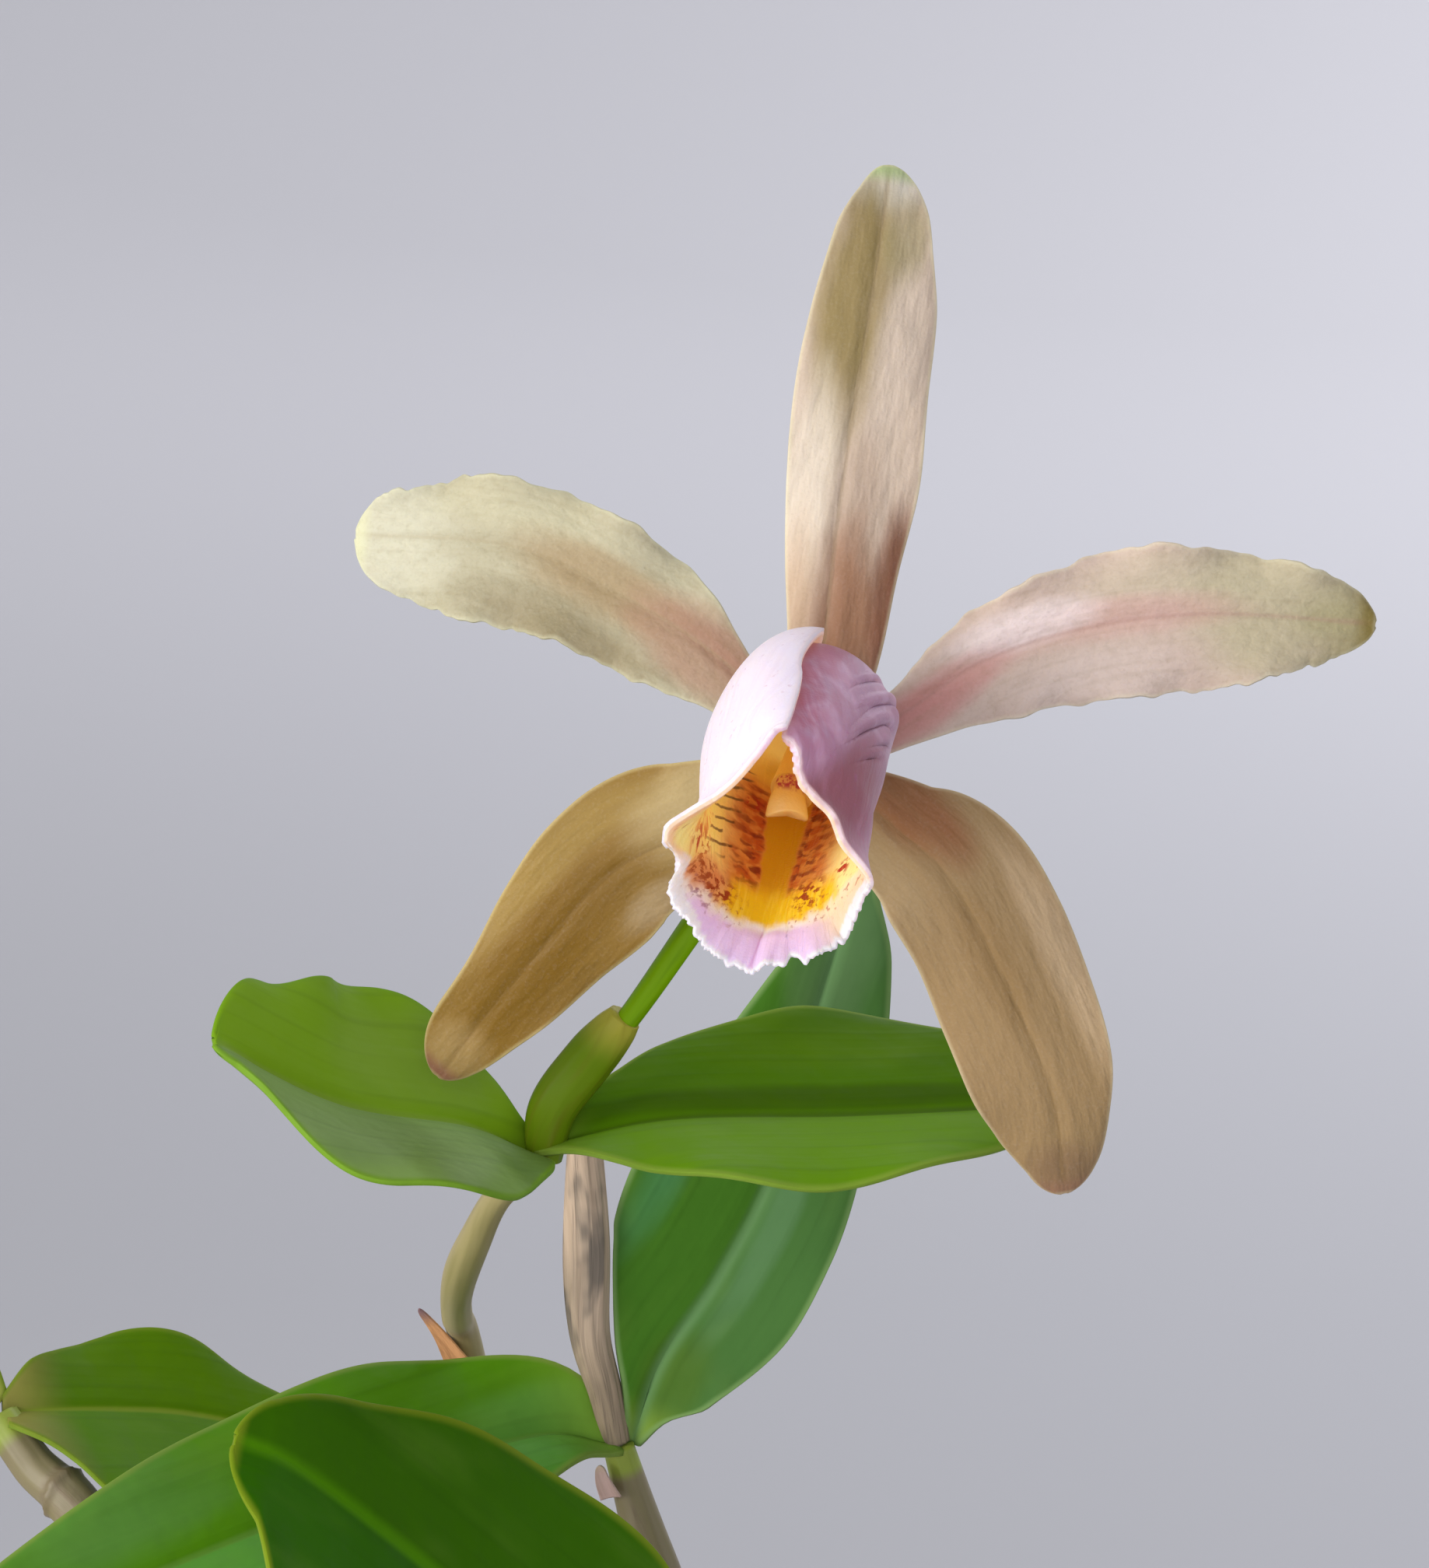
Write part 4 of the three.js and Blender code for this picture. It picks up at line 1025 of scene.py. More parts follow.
@dataclass(frozen=True)
class MattPaper(Finish):
    """Coated studio paper, hung in a sweep: quite matt and a pale lavender grey."""

    # a deeper floor and a lighter wall: painted shade on the floor and painted light up the wall, which even
    # out the lamps' light on the sweep
    floor: str = "#abacaf"
    wall: str = "#d2d2d6"
    floor_mm: float = -60.0
    wall_mm: float = 260.0

    def surface(self, bench: Bench) -> Socket:
        """Grades the paper from a deeper floor to a lighter wall, as painted shade and painted light that
        even out the lamps.
        """
        add = bench.add
        dye = Dye(bench, self.floor)
        height = add(Node.SPLIT, bench.body, take="Z")
        dye.lay(self.wall, add(Node.BAND, height, self.floor_mm, self.wall_mm))
        return add(Node.SHADER, Base_Color=dye.colour, Roughness=0.95, Specular_IOR_Level=0.1)


# ---------------- blades
@dataclass(frozen=True)
class Wave:
    """A wave along one margin or both: height in millimetres and count over the whole length."""

    height: float
    count: float
    phase: float
    side: int = 0
    start: float = 0.15

    RISE = 8.0  # how fast it sets in along the blade
    END = 1.02  # where it has died away

    def lift(self, t: np.ndarray, u: np.ndarray) -> np.ndarray:
        """How far it lifts each place of a blade.

        Args:
            t: share of the length, one for each row.
            u: place across from -1 to 1, one for each column.

        Returns:
            Millimetres for each row and column.
        """
        reach = np.abs(u) ** 3 * np.where((self.side != 0) & (np.sign(u) != self.side), 0, 1)
        inside = np.clip((t - self.start) * self.RISE, 0, 1) * np.clip((self.END - t) * self.RISE, 0, 1)
        swing = inside * np.sin(2 * math.pi * self.count * t + self.phase)
        return self.height * reach[None, :] * swing[:, None]


@dataclass(frozen=True)
class Blade:
    """A leaf, sepal or petal: a spine, half-widths left and right of it, and the way that its face looks."""

    spine: Sequence[Point]
    width: Rows
    face: Point
    fold: float
    waves: Sequence[Wave]
    thick: float
    rim_thick: float = 0.25
    groove: float = 0.25
    groove_mm: float = 0.7
    tip: float = 0.86
    rib: float = 1.0
    scallop: float = 0.0
    scallops: Rows = ((61, 0.4, 1.0), (97, 2.0, 0.7), (163, 0.0, 0.5))  # radians a length, phase, strength
    pucker: float = 0.0
    # radians a millimetre across and along, phase, strength
    puckers: Rows = ((1.9, 0.5, 0.0, 1.0), (2.9, -0.7, 1.3, 0.7), (1.2, 1.1, 2.6, 0.8))
    curl: float = 0.0
    foot_fold: float = 0.0
    end: float = 0.9925
    rows: int = 130
    columns: int = 49

    CROWDING = 1.5  # how much the rows crowd towards the tip
    SET_IN = (0.1, 0.3)  # the share of the length over which curl and puckers set in
    SCALLOPED = (0.12, 0.3)  # and the scallops
    FOOT = (0.2, 0.0)  # and the foot's deeper fold
    GROOVE_ENDS = (1.0, 0.85)
    CURLED = 0.75  # the share of the half-width beyond which the margin curls
    WANDER = 0.31  # radians a millimetre of the puckers' own wave

    def grid(self) -> tuple[np.ndarray, ...]:
        """Works out the middle surface.

        Returns:
            The grid of points, thickness, place in millimetres and PLACE_PART at each point.
        """
        path = Path(self.spine)
        t = 1 - (1 - np.linspace(0, self.end, self.rows)) ** self.CROWDING
        u = np.sin(np.linspace(-1, 1, self.columns) * math.pi / 2)
        forward = path.direction(t)
        facing = unit(np.asarray(self.face, float))
        up = unit(facing - forward * (forward @ facing)[:, None])
        side = np.cross(forward, up)
        k = np.clip((t - self.tip) / (1 - self.tip), 0, 1)
        cap = np.sqrt(1 - k * k)
        left, right = ramp(self.width, t, 1) * cap, ramp(self.width, t, 2) * cap
        nick = self.scallop * sum(size * np.sin(turns * t + phase) for turns, phase, size in self.scallops)
        nick = nick * fade(t, *self.SCALLOPED) * cap
        half = np.where(u[None, :] < 0, (left + nick)[:, None], (right - nick[::-1])[:, None])
        x = u[None, :] * half
        along = np.broadcast_to((t * path.length)[:, None], x.shape)
        slope = np.tan(np.radians(self.fold + self.foot_fold * fade(t, *self.FOOT)))[:, None]
        lift = slope * (np.hypot(x, self.rib) - self.rib) + sum(wave.lift(t, u) for wave in self.waves)
        outer = np.clip((np.abs(u[None, :]) - self.CURLED) / (1 - self.CURLED), 0, 1) ** 2
        set_in = fade(t, *self.SET_IN)[:, None]
        lift = lift + self.curl * outer * set_in
        lift = lift - self.groove * hump(x, 0.0, self.groove_mm) * fade(t, *self.GROOVE_ENDS)[:, None]
        wander = np.sin(self.WANDER * along)
        soft = sum(size * np.sin(a * x + b * along + phase + wander) for a, b, phase, size in self.puckers)
        lift = lift + self.pucker * soft * np.abs(u[None, :]) * set_in
        points = path.at(t)[:, None] + side[:, None] * x[..., None] + up[:, None] * lift[..., None]
        ends = np.sqrt(np.clip(1 - k ** 3, 0, 1))[:, None]
        body = np.sqrt(np.clip(1 - np.abs(u[None, :]) ** 3, 0, 1)) * ends
        thick = self.rim_thick + (self.thick - self.rim_thick) * body
        edge = np.minimum(half * (1 - np.abs(u[None, :])), (path.length * (1 - t))[:, None])
        part = np.dstack([np.broadcast_to(u[None, :], x.shape), np.broadcast_to(t[:, None], x.shape), edge])
        return points, thick, np.dstack([x, along]), part

    def build(self, name: str, finish: Finish, place: Optional[Move] = None) -> bpy.types.Object:
        """Makes the blade's mesh, and moves its points from another frame into the plant's."""
        points, thick, mm, part = self.grid()
        return sheet_object(name, place(points) if place else points, thick, mm, part, finish)


BladeRows = Sequence[tuple[str, Blade, Finish]]  # each with its name and finish


# ---------------- stems
@dataclass(frozen=True)
class Stem:
    """A round stem: a path, its radius in millimetres, and the joints that ring it."""

    path: Sequence[Point]
    radius: Rows
    nodes: Sequence[float] = ()
    ring: float = 0.55
    ring_mm: float = 0.55
    sheath: float = 0.0
    sheath_mm: float = 7.0
    oval: float = 1.0
    sides: int = 40
    rows: int = 160
    ripple: float = 0.0
    round_end: float = 0.0
    teeth: float = 0.0

    FACING = (0.3, -1.0, 0.1)
    SLANT = 0.9  # how far a joint leans out of square, in millimetres
    SLANT_TURN = 2.4  # radians from one joint's lean to the next one's
    RIDGES = 9
    RIDGE_TWIST = 0.05  # radians a millimetre
    FINE_RIDGES = (0.6, 17, 1.3)  # height, number and phase of the finer ones
    ROUNDED = 0.995  # how far a rounded end closes
    TOOTHED = (0.75, 1.0)  # the share of the length over which two teeth rise at the end

    def build(self, name: str, finish: Finish, place: Optional[Move] = None) -> bpy.types.Object:
        """Makes the stem's mesh, closed at both ends.

        Args:
            name: the object's name.
            finish: its finish.
            place: moves the points from another frame into the plant's.

        Returns:
            The object.
        """
        path = Path(self.path)
        t = np.linspace(0, 1, self.rows)[:, None]
        turn = np.linspace(0, 2 * math.pi, self.sides, endpoint=False)[None, :]
        along = t * path.length
        forward = path.direction(t[:, 0])
        up = unit(np.asarray(self.FACING))
        side = unit(np.cross(np.broadcast_to(up, forward.shape), forward))
        front = np.cross(forward, side)
        radius = np.repeat(ramp(self.radius, t), self.sides, 1)
        near = np.full(radius.shape, FAR)
        above = np.repeat(along, self.sides, 1)
        for k, node in enumerate(self.nodes):
            slant = along - node * path.length + self.SLANT * np.cos(turn + self.SLANT_TURN * k)
            near = np.minimum(near, np.abs(slant))
            above = np.where(slant > 0, slant, above)
            radius = radius + self.ring * hump(slant, 0.0, self.ring_mm)
            radius = radius + self.sheath * np.where(slant < 0, np.exp(slant / self.sheath_mm), 0.0)
        high, count, phase = self.FINE_RIDGES
        ridges = np.sin(self.RIDGES * turn + self.RIDGE_TWIST * along) + high * np.sin(count * turn + phase)
        radius = radius + self.ripple * ridges
        if self.round_end:
            closing = np.clip((t - 1 + self.round_end) / self.round_end, 0, self.ROUNDED)
            radius = radius * np.sqrt(1 - closing ** 2)
        ring = side[:, None] * np.cos(turn)[..., None]
        ring = ring + front[:, None] * (self.oval * np.sin(turn))[..., None]
        points = path.at(t[:, 0])[:, None] + ring * radius[..., None]
        teeth = self.teeth * fade(t, *self.TOOTHED) * np.cos(2 * turn)
        points = points + forward[:, None] * teeth[..., None]
        if place:
            points = place(points)
        skin = points.reshape(-1, 3)
        faces = grid_faces(self.rows, self.sides, closed=True)
        faces += end_fans(self.sides, (self.rows - 1) * self.sides, len(skin))
        skin = np.vstack([skin, points[0].mean(0), points[-1].mean(0)])
        shape = radius.shape
        mm = np.dstack([(turn - math.pi) * radius, np.broadcast_to(along, shape), above]).reshape(-1, 3)
        part = np.dstack([np.broadcast_to(turn / math.pi - 1, shape), np.broadcast_to(t, shape), near])
        marks = {PLACE_MM: np.vstack([mm, [0, 0, 0], [0, path.length, 0]]),
                 PLACE_PART: np.vstack([part.reshape(-1, 3), [0, 0, FAR], [0, 1, FAR]])}
        return mesh_object(name, skin, faces, marks, finish)


# ---------------- pot and bark
@dataclass
class Pot:
    """A plain clay pot with a rim band, four drain holes and its filling of bark."""

    height: float = 95.0
    base_radius: float = 43.0
    top_radius: float = 60.0
    wall: float = 4.0
    floor: float = 6.0
    band_height: float = 17.0
    band_step: float = 2.5
    foot_worn: float = 1.4
    # worn edges, each as steps out and up from its sharp corner
    foot_edge: Rows = ((-1.6, 0.0), (-0.5, 0.35))
    step_edge: Rows = ((0.0, -0.3), (0.4, 0.0))
    band_edge: Rows = ((-0.5, 0.8), (0.0, 2.0))
    rim_edge: Rows = ((0.0, -1.8), (-0.5, -0.5), (-1.5, 0.0))
    mouth_edge: Rows = ((1.2, 0.0), (0.3, -0.5))
    bevel: float = 1.5  # inside, below the mouth and round the floor
    drain_radius: float = 5.0
    drain_circle: float = 20.0
    drains: int = 4
    drain_turns: int = 40
    turns: int = 144
    sharp: float = 28.0  # degrees above which an edge is shaded sharp
    clay: Finish = Terracotta("terracotta, wheel-thrown")

    def slope(self) -> float:
        """How fast the wall leans out with height."""
        return (self.top_radius - self.band_step - self.base_radius) / self.height

    def inner(self, z: float) -> float:
        """The inner wall's radius at a height."""
        return self.base_radius + self.slope() * z - self.wall

    def worn(self, radius: float, height: float, edge: Rows) -> list[tuple[float, float]]:
        """The profile's points round one worn edge."""
        return [(radius + out, height + up) for out, up in edge]

    def build(self) -> None:
        """Makes the pot and cuts its drain holes."""
        foot = self.height - self.band_height
        outer = [self.base_radius + self.slope() * z for z in (self.foot_worn, foot)]
        profile = [
            (0, 0), *self.worn(self.base_radius, 0.0, self.foot_edge), (outer[0], self.foot_worn),
            *self.worn(outer[1], foot, self.step_edge),
            *self.worn(outer[1] + self.band_step, foot, self.band_edge),
            *self.worn(self.top_radius, self.height, self.rim_edge),
            *self.worn(self.inner(self.height), self.height, self.mouth_edge),
            *((self.inner(z), z) for z in (self.height - self.bevel, self.floor + self.bevel)),
            (self.inner(self.floor) - self.bevel, self.floor), (0, self.floor),
        ]
        pot = lathe("clay_pot", profile, self.turns, self.clay)
        for k in range(self.drains):
            turn = 2 * math.pi * (k + 0.5) / self.drains
            reach = self.drain_circle * MM
            bpy.ops.mesh.primitive_cylinder_add(
                vertices=self.drain_turns, radius=self.drain_radius * MM, depth=4 * self.floor * MM,
                location=(reach * math.cos(turn), reach * math.sin(turn), 0))
            drill = bpy.context.object
            cut = pot.modifiers.new("drain", "BOOLEAN")
            cut.object = drill
            cut.operation = "DIFFERENCE"
            cut.solver = "EXACT"
            with bpy.context.temp_override(object=pot, active_object=pot):
                bpy.ops.object.modifier_apply(modifier=cut.name)
            bpy.data.objects.remove(drill)
        with bpy.context.temp_override(object=pot, active_object=pot, selected_editable_objects=[pot]):
            bpy.ops.object.shade_smooth_by_angle(angle=math.radians(self.sharp))
        dress(pot, "terracotta", "pot")


@dataclass(frozen=True)
class Chips:
    """A size of bark chips: how many, how large, how uneven and how they lie."""

    count: int
    least: Point
    drawn: Point
    corner: Point
    tilt: float
    lift: float
    drawn_lift: float
    from_wall: float
    cuts: int


@dataclass
class BarkFill:
    """The potting bark: a bed that fills the pot, with large and small chips laid over its top."""

    pot: Pot
    top: float = 82.0
    gap: float = 0.3
    seed: int = 7
    small_seed: int = 99
    large: Chips = Chips(42, least=(11.4, 8.1, 5.25), drawn=(11.4, 8.1, 4.5), corner=(2.5, 2.5, 1.2),
                         tilt=0.7, lift=0.0, drawn_lift=0.8, from_wall=3.0, cuts=9)
    small: Chips = Chips(210, least=(5.0, 3.5, 2.2), drawn=(6.0, 4.0, 2.4), corner=(1.2, 1.2, 0.7),
                         tilt=1.1, lift=1.6, drawn_lift=1.6, from_wall=1.0, cuts=5)
    small_turn: float = 0.6
    layer_mm: float = 0.28
    layer_waves: Sequence[float] = (2.6, 0.9)  # radians a millimetre, through a chip and along it
    pit_mm: float = 0.3
    pit_waves: Sequence[float] = (1.7, 2.1)  # along it and across
    apart_mm: float = 40.0  # how far apart the chips lie in the bark's pattern
    worn: int = 6  # the higher, the sharper a chip's edges
    turns: int = 72
    steps: int = 8
    bark: Finish = PineBark("pine bark, graded")

    def chip(self, draw: Draw, rough: Draw, kind: Chips, x: float, y: float
             ) -> tuple[np.ndarray, list, np.ndarray]:
        """One chip: a plate with uneven corners, worn edges and cork layers.

        Args:
            draw: the seeded draw of its size, corners, tilt and height.
            rough: the seeded draw of its layers.
            kind: its size of chip.
            x: where it lies, to the right.
            y: where it lies, to the back.

        Returns:
            Points, faces and each point's place in the chip.
        """
        size = [least + drawn * draw.next() for least, drawn in zip(kind.least, kind.drawn)]
        corners = np.array([[draw.around(part) for part in kind.corner] for _ in range(8)])
        tilt = (draw.around(kind.tilt), draw.around(kind.tilt), 2 * math.pi * draw.next())
        z = self.top + kind.lift + kind.drawn_lift * draw.next()
        line = np.linspace(-1, 1, kind.cuts + 1)
        a, b = np.meshgrid(line, line, indexing="ij")
        cube = np.zeros((6, *a.shape, 3))
        for k in range(6):
            axis, end = k // 2, 2 * (k % 2) - 1
            cube[k, ..., axis] = end
            cube[k, ..., (axis + 1) % 3] = a if end > 0 else b
            cube[k, ..., (axis + 2) % 3] = b if end > 0 else a
        blunt = cube / np.linalg.norm(cube, ord=self.worn, axis=-1, keepdims=True)
        local = blunt * np.asarray(size) / 2
        push = np.zeros_like(local)
        for k, corner in enumerate(((x, y, z) for x in (-1, 1) for y in (-1, 1) for z in (-1, 1))):
            push += np.prod((1 + cube * np.asarray(corner)) / 2, axis=-1)[..., None] * corners[k]
        phase = [2 * math.pi * rough.next() for _ in range(4)]
        waves = [np.sin(local[..., axis] * pace + start) for axis, pace, start in
                 zip((2, 0, 0, 1), (*self.layer_waves, *self.pit_waves), phase)]
        layers, pits = waves[0] * waves[1], waves[2] * waves[3]
        local = local + push + unit(blunt) * (self.layer_mm * layers + self.pit_mm * pits)[..., None]
        cx, cy, cz = np.cos(tilt)
        sx, sy, sz = np.sin(tilt)
        turn_x = np.array([[1, 0, 0], [0, cx, -sx], [0, sx, cx]])
        turn_y = np.array([[cy, 0, sy], [0, 1, 0], [-sy, 0, cy]])
        turn_z = np.array([[cz, -sz, 0], [sz, cz, 0], [0, 0, 1]])
        points = local @ (turn_z @ turn_y @ turn_x).T + np.array([x, y, z])
        side = kind.cuts + 1
        faces = [face for k in range(6) for face in grid_faces(side, side, start=k * side ** 2)]
        spot = local + self.apart_mm * np.array([rough.next(), rough.next(), rough.next()])
        return points.reshape(-1, 3), faces, spot.reshape(-1, 3)

    def build(self) -> None:
        """Makes the bed and lays the chips, each pressed inside the pot's wall."""
        wall = self.pot.inner(self.top) - self.gap
        low = self.pot.floor + self.gap
        profile = [(0, low), (self.pot.inner(low) - self.gap, low), (wall, self.top), (0, self.top)]
        bed = lathe("bark_bed", profile, self.turns, self.bark, self.steps)
        draw, rough = Draw(self.seed), Draw(self.small_seed)
        golden = math.pi * (3 - math.sqrt(5))
        points, faces, spots = [], [], []
        count = 0
        for kind, source, start in ((self.large, draw, 0.0), (self.small, rough, self.small_turn)):
            for k in range(kind.count):
                reach = (wall - kind.from_wall) * math.sqrt((k + 0.5) / kind.count)
                turn = k * golden + start
                x, y = reach * math.cos(turn), reach * math.sin(turn)
                made, sides, spot = self.chip(source, rough, kind, x, y)
                made[:, :2] *= np.minimum(1, wall / np.maximum(np.hypot(made[:, 0], made[:, 1]), MM))[:, None]
                points.append(made)
                spots.append(spot)
                faces.extend(tuple(n + count for n in side) for side in sides)
                count += len(made)
        loose = mesh_object("bark_chips", np.vstack(points), faces, {PLACE_MM: np.vstack(spots)}, self.bark)
        dress(join("potting_bark_chips", [loose, bed]), "bark", "potting_bark")


# ---------------- below the leaves
RHIZOME_HEIGHT = 86.5
FEET = {
    "old": (36.0, 28.0), "back": (18.0, 22.0), "middle": (4.0, 19.0), "front": (-9.0, 15.0),
    "left": (-32.0, 10.0), "low": (12.0, -22.0),
}


def on_rhizome(foot: Sequence[float]) -> Point:
    """A foot's place on the middle line of the rhizome."""
    return foot[0], foot[1], RHIZOME_HEIGHT


@dataclass
class Rootstock:
    """The creeping rhizome with its branch and its fleshy roots."""

    radius: float = 3.2
    end_share: float = 0.8  # of that radius, at both ends
    joint_mm: float = 4.5
    rows_a_mm: float = 2.2
    main: Rows = (FEET["old"], FEET["back"], FEET["middle"], FEET["front"], (-20, 11), FEET["left"])
    branch: Rows = (FEET["front"], (0, -3), FEET["low"])
    root_radius: float = 1.4
    root_tip: float = 0.7  # of that radius
    roots: int = 8
    reach: float = 24.0
    least_reach: float = 0.6
    limit: float = 48.0
    turn: float = 2.1
    drawn_turn: float = 0.8
    sway: float = 0.5
    route: Rows = ((0, 0, 0), (0.3, 1.6, 1), (0.62, 0, 2), (0.9, -9, 3))  # share of reach, height, sways
    seed: int = 21
    skin: Finish = Velamen("velamen root skin")

    def creeping(self, name: str, feet: Sequence[Sequence[float]]) -> bpy.types.Object:
        """One length of rhizome along its feet, jointed all the way."""
        path = [on_rhizome(foot) for foot in feet]
        length = Path(path).length
        joints = np.arange(self.joint_mm, length - self.joint_mm / 2, self.joint_mm) / length
        end = self.radius * self.end_share
        return Stem(path, [(0, end), (0.5, self.radius), (1, end)], tuple(joints), ring=0.35, sheath=0.2,
                    rows=round(self.rows_a_mm * length), ripple=0.06).build(name, self.skin)

    def build(self) -> None:
        """Makes rhizome and roots and joins them."""
        pieces = [self.creeping("rhizome_creep", self.main), self.creeping("rhizome_branch", self.branch)]
        draw = Draw(self.seed)
        starts = list(FEET.values())
        for k in range(self.roots):
            x, y = starts[k % len(starts)]
            turn = k * self.turn + self.drawn_turn * draw.next()
            reach = self.reach * (self.least_reach + (1 - self.least_reach) * draw.next())
            sway = draw.around(self.sway)
            path = []
            for part, lift, sways in self.route:
                px = x + reach * part * math.cos(turn + sways * sway)
                py = y + reach * part * math.sin(turn + sways * sway)
                inside = min(1.0, self.limit / math.hypot(px, py))
                path.append((px * inside, py * inside, RHIZOME_HEIGHT + lift))
            width = [(0, self.root_radius), (1, self.root_radius * self.root_tip)]
            root = Stem(path, width, sides=20, rows=60, ripple=0.05)
            pieces.append(root.build(f"root_{k}", self.skin))
        dress(join("rhizome_and_roots", pieces), "root", "rhizome")


@dataclass(frozen=True)
class Cane(Stem):
    """A jointed cane, which swells towards each joint under its papery sheath."""

    ring: float = 0.35
    sheath: float = 0.3
    ripple: float = 0.05


@dataclass(frozen=True)
class Scale(Blade):
    """A small dry scale that stands off a cane's joint."""

    fold: float = 25.0
    waves: Sequence[Wave] = ()
    thick: float = 0.35
    rim_thick: float = 0.2
    groove: float = 0.0
    rows: int = 40
    columns: int = 21


@dataclass
class Canes:
    """The canes, each from the rhizome to its leaves, and the two bracts that stand off them."""

    young: Finish = CaneRind("cane rind, young", rind="#a49768", paper_below=0.35, ring_amount=0.3,
                             ring="#7a6238")
    aged: Finish = CaneRind("cane rind, aged", rind="#827858", paper="#877d62", ring="#5c4a34",
                            paper_below=0.85, ring_amount=0.35, collar_from=0.955)
    spur: Finish = DryBract("bract, dry orange", pale="#d9a06c", tip="#6a5566", tip_share=(0.6, 1.0),
                            fibres=Grain("#a8764a", 0.5, (0.8, 6, 99), 0.4, 0.7, 3, 0.6),
                            weather=Grain("#b58255", 0.4, (2, 4, 99)))
    husk: Finish = DryBract("bract, dry pink", pale="#c9aca4",
                            weather=Grain("#a98a80", 0.6, (2, 4, 99)))
    canes: Sequence[tuple[str, Stem, Finish]] = (
        ("cane_front", Cane(
            [on_rhizome(FEET["front"]), (-9.5, 19, 118), (-9, 24.5, 150), (-14.6, 26.5, 181.2),
             (-15.2, 17.5, 189.7), (-14.1, 7.5, 197.2), (-11.5, -3, 205.2), (-8.1, -13, 213.3),
             (-3.3, -20.8, 218.8)],
            [(0, 2.6), (0.22, 4), (0.42, 3.5), (0.58, 2.1), (0.7, 1.8), (0.8, 2), (0.9, 1.6), (1, 1.3)],
            (0.12, 0.28, 0.45, 0.59), rows=300, ripple=0.02), young),
        ("cane_back", Cane(
            [on_rhizome(FEET["back"]), (16, 22, 118), (11, 20.5, 145), (6.4, 19.9, 161.9),
             (3.5, 19.7, 172.6)],
            [(0, 2.6), (0.4, 4.2), (0.8, 3), (0.93, 2.2), (1, 1.8)],
            (0.2, 0.45, 0.7), rows=240), aged),
        ("cane_left", Cane(
            [on_rhizome(FEET["left"]), (-42, 10, 118), (-56.7, 17.4, 159), (-66.5, 22.3, 169.7),
             (-70.5, 25, 174.1)],
            [(0, 2.6), (0.4, 4), (0.8, 3), (1, 2.3)], (0.18, 0.42, 0.66, 0.88), rows=240), aged),
        ("cane_low", Cane(
            [on_rhizome(FEET["low"]), (12.5, -25, 108), (15, -29.5, 132), (17.2, -32.8, 150)],
            [(0, 2.6), (0.4, 4), (0.85, 3), (1, 2.5)], (0.25, 0.55, 0.85), rows=200), young),
        ("back_bulb", Cane(
            [on_rhizome(FEET["old"]), (39, 30, 108), (43, 33, 128), (45, 34.5, 141)],
            [(0, 2.8), (0.4, 4.6), (0.8, 4), (0.96, 2.6), (1, 1.4)], (0.22, 0.5, 0.78), rows=180,
            ripple=0.14, round_end=0.03), aged),
    )
    bracts: BladeRows = (
        ("cane_front_bract", Scale(
            [(-15.6, 24.6, 181.8), (-17.6, 22.6, 185.6), (-19.9, 20.3, 189.4)],
            [(0, 1.9, 1.8), (0.45, 1.1, 1.0), (1, 0.4, 0.4)], (-0.5, -0.85, 0.1)), spur),
        ("cane_back_bract", Scale(
            [(2.6, 17.6, 167.2), (1.7, 17.3, 169.4), (1.3, 17.4, 171.2)],
            [(0, 1.3, 1.5), (0.5, 1.0, 1.1), (1, 0.5, 0.5)], (-0.4, -0.9, 0.1)), husk),
    )

    def build(self) -> None:
        """Makes every cane and bract."""
        for name, stem, finish in self.canes:
            dress(stem.build(f"{name}_skin", finish), "cane", name)
        for name, scale, finish in self.bracts:
            dress(scale.build(name, finish), "dry_bract")


# ---------------- leaves
@dataclass(frozen=True)
class Leaf(Blade):
    """A thick, leathery leaf, folded more at its foot."""

    waves: Sequence[Wave] = (Wave(0.7, 2.3, 0.6, -1), Wave(0.6, 2.8, 2.2, 1))
    thick: float = 1.15
    rim_thick: float = 0.45
    groove: float = 0.45
    groove_mm: float = 0.9
    curl: float = -0.25
    foot_fold: float = 24.0


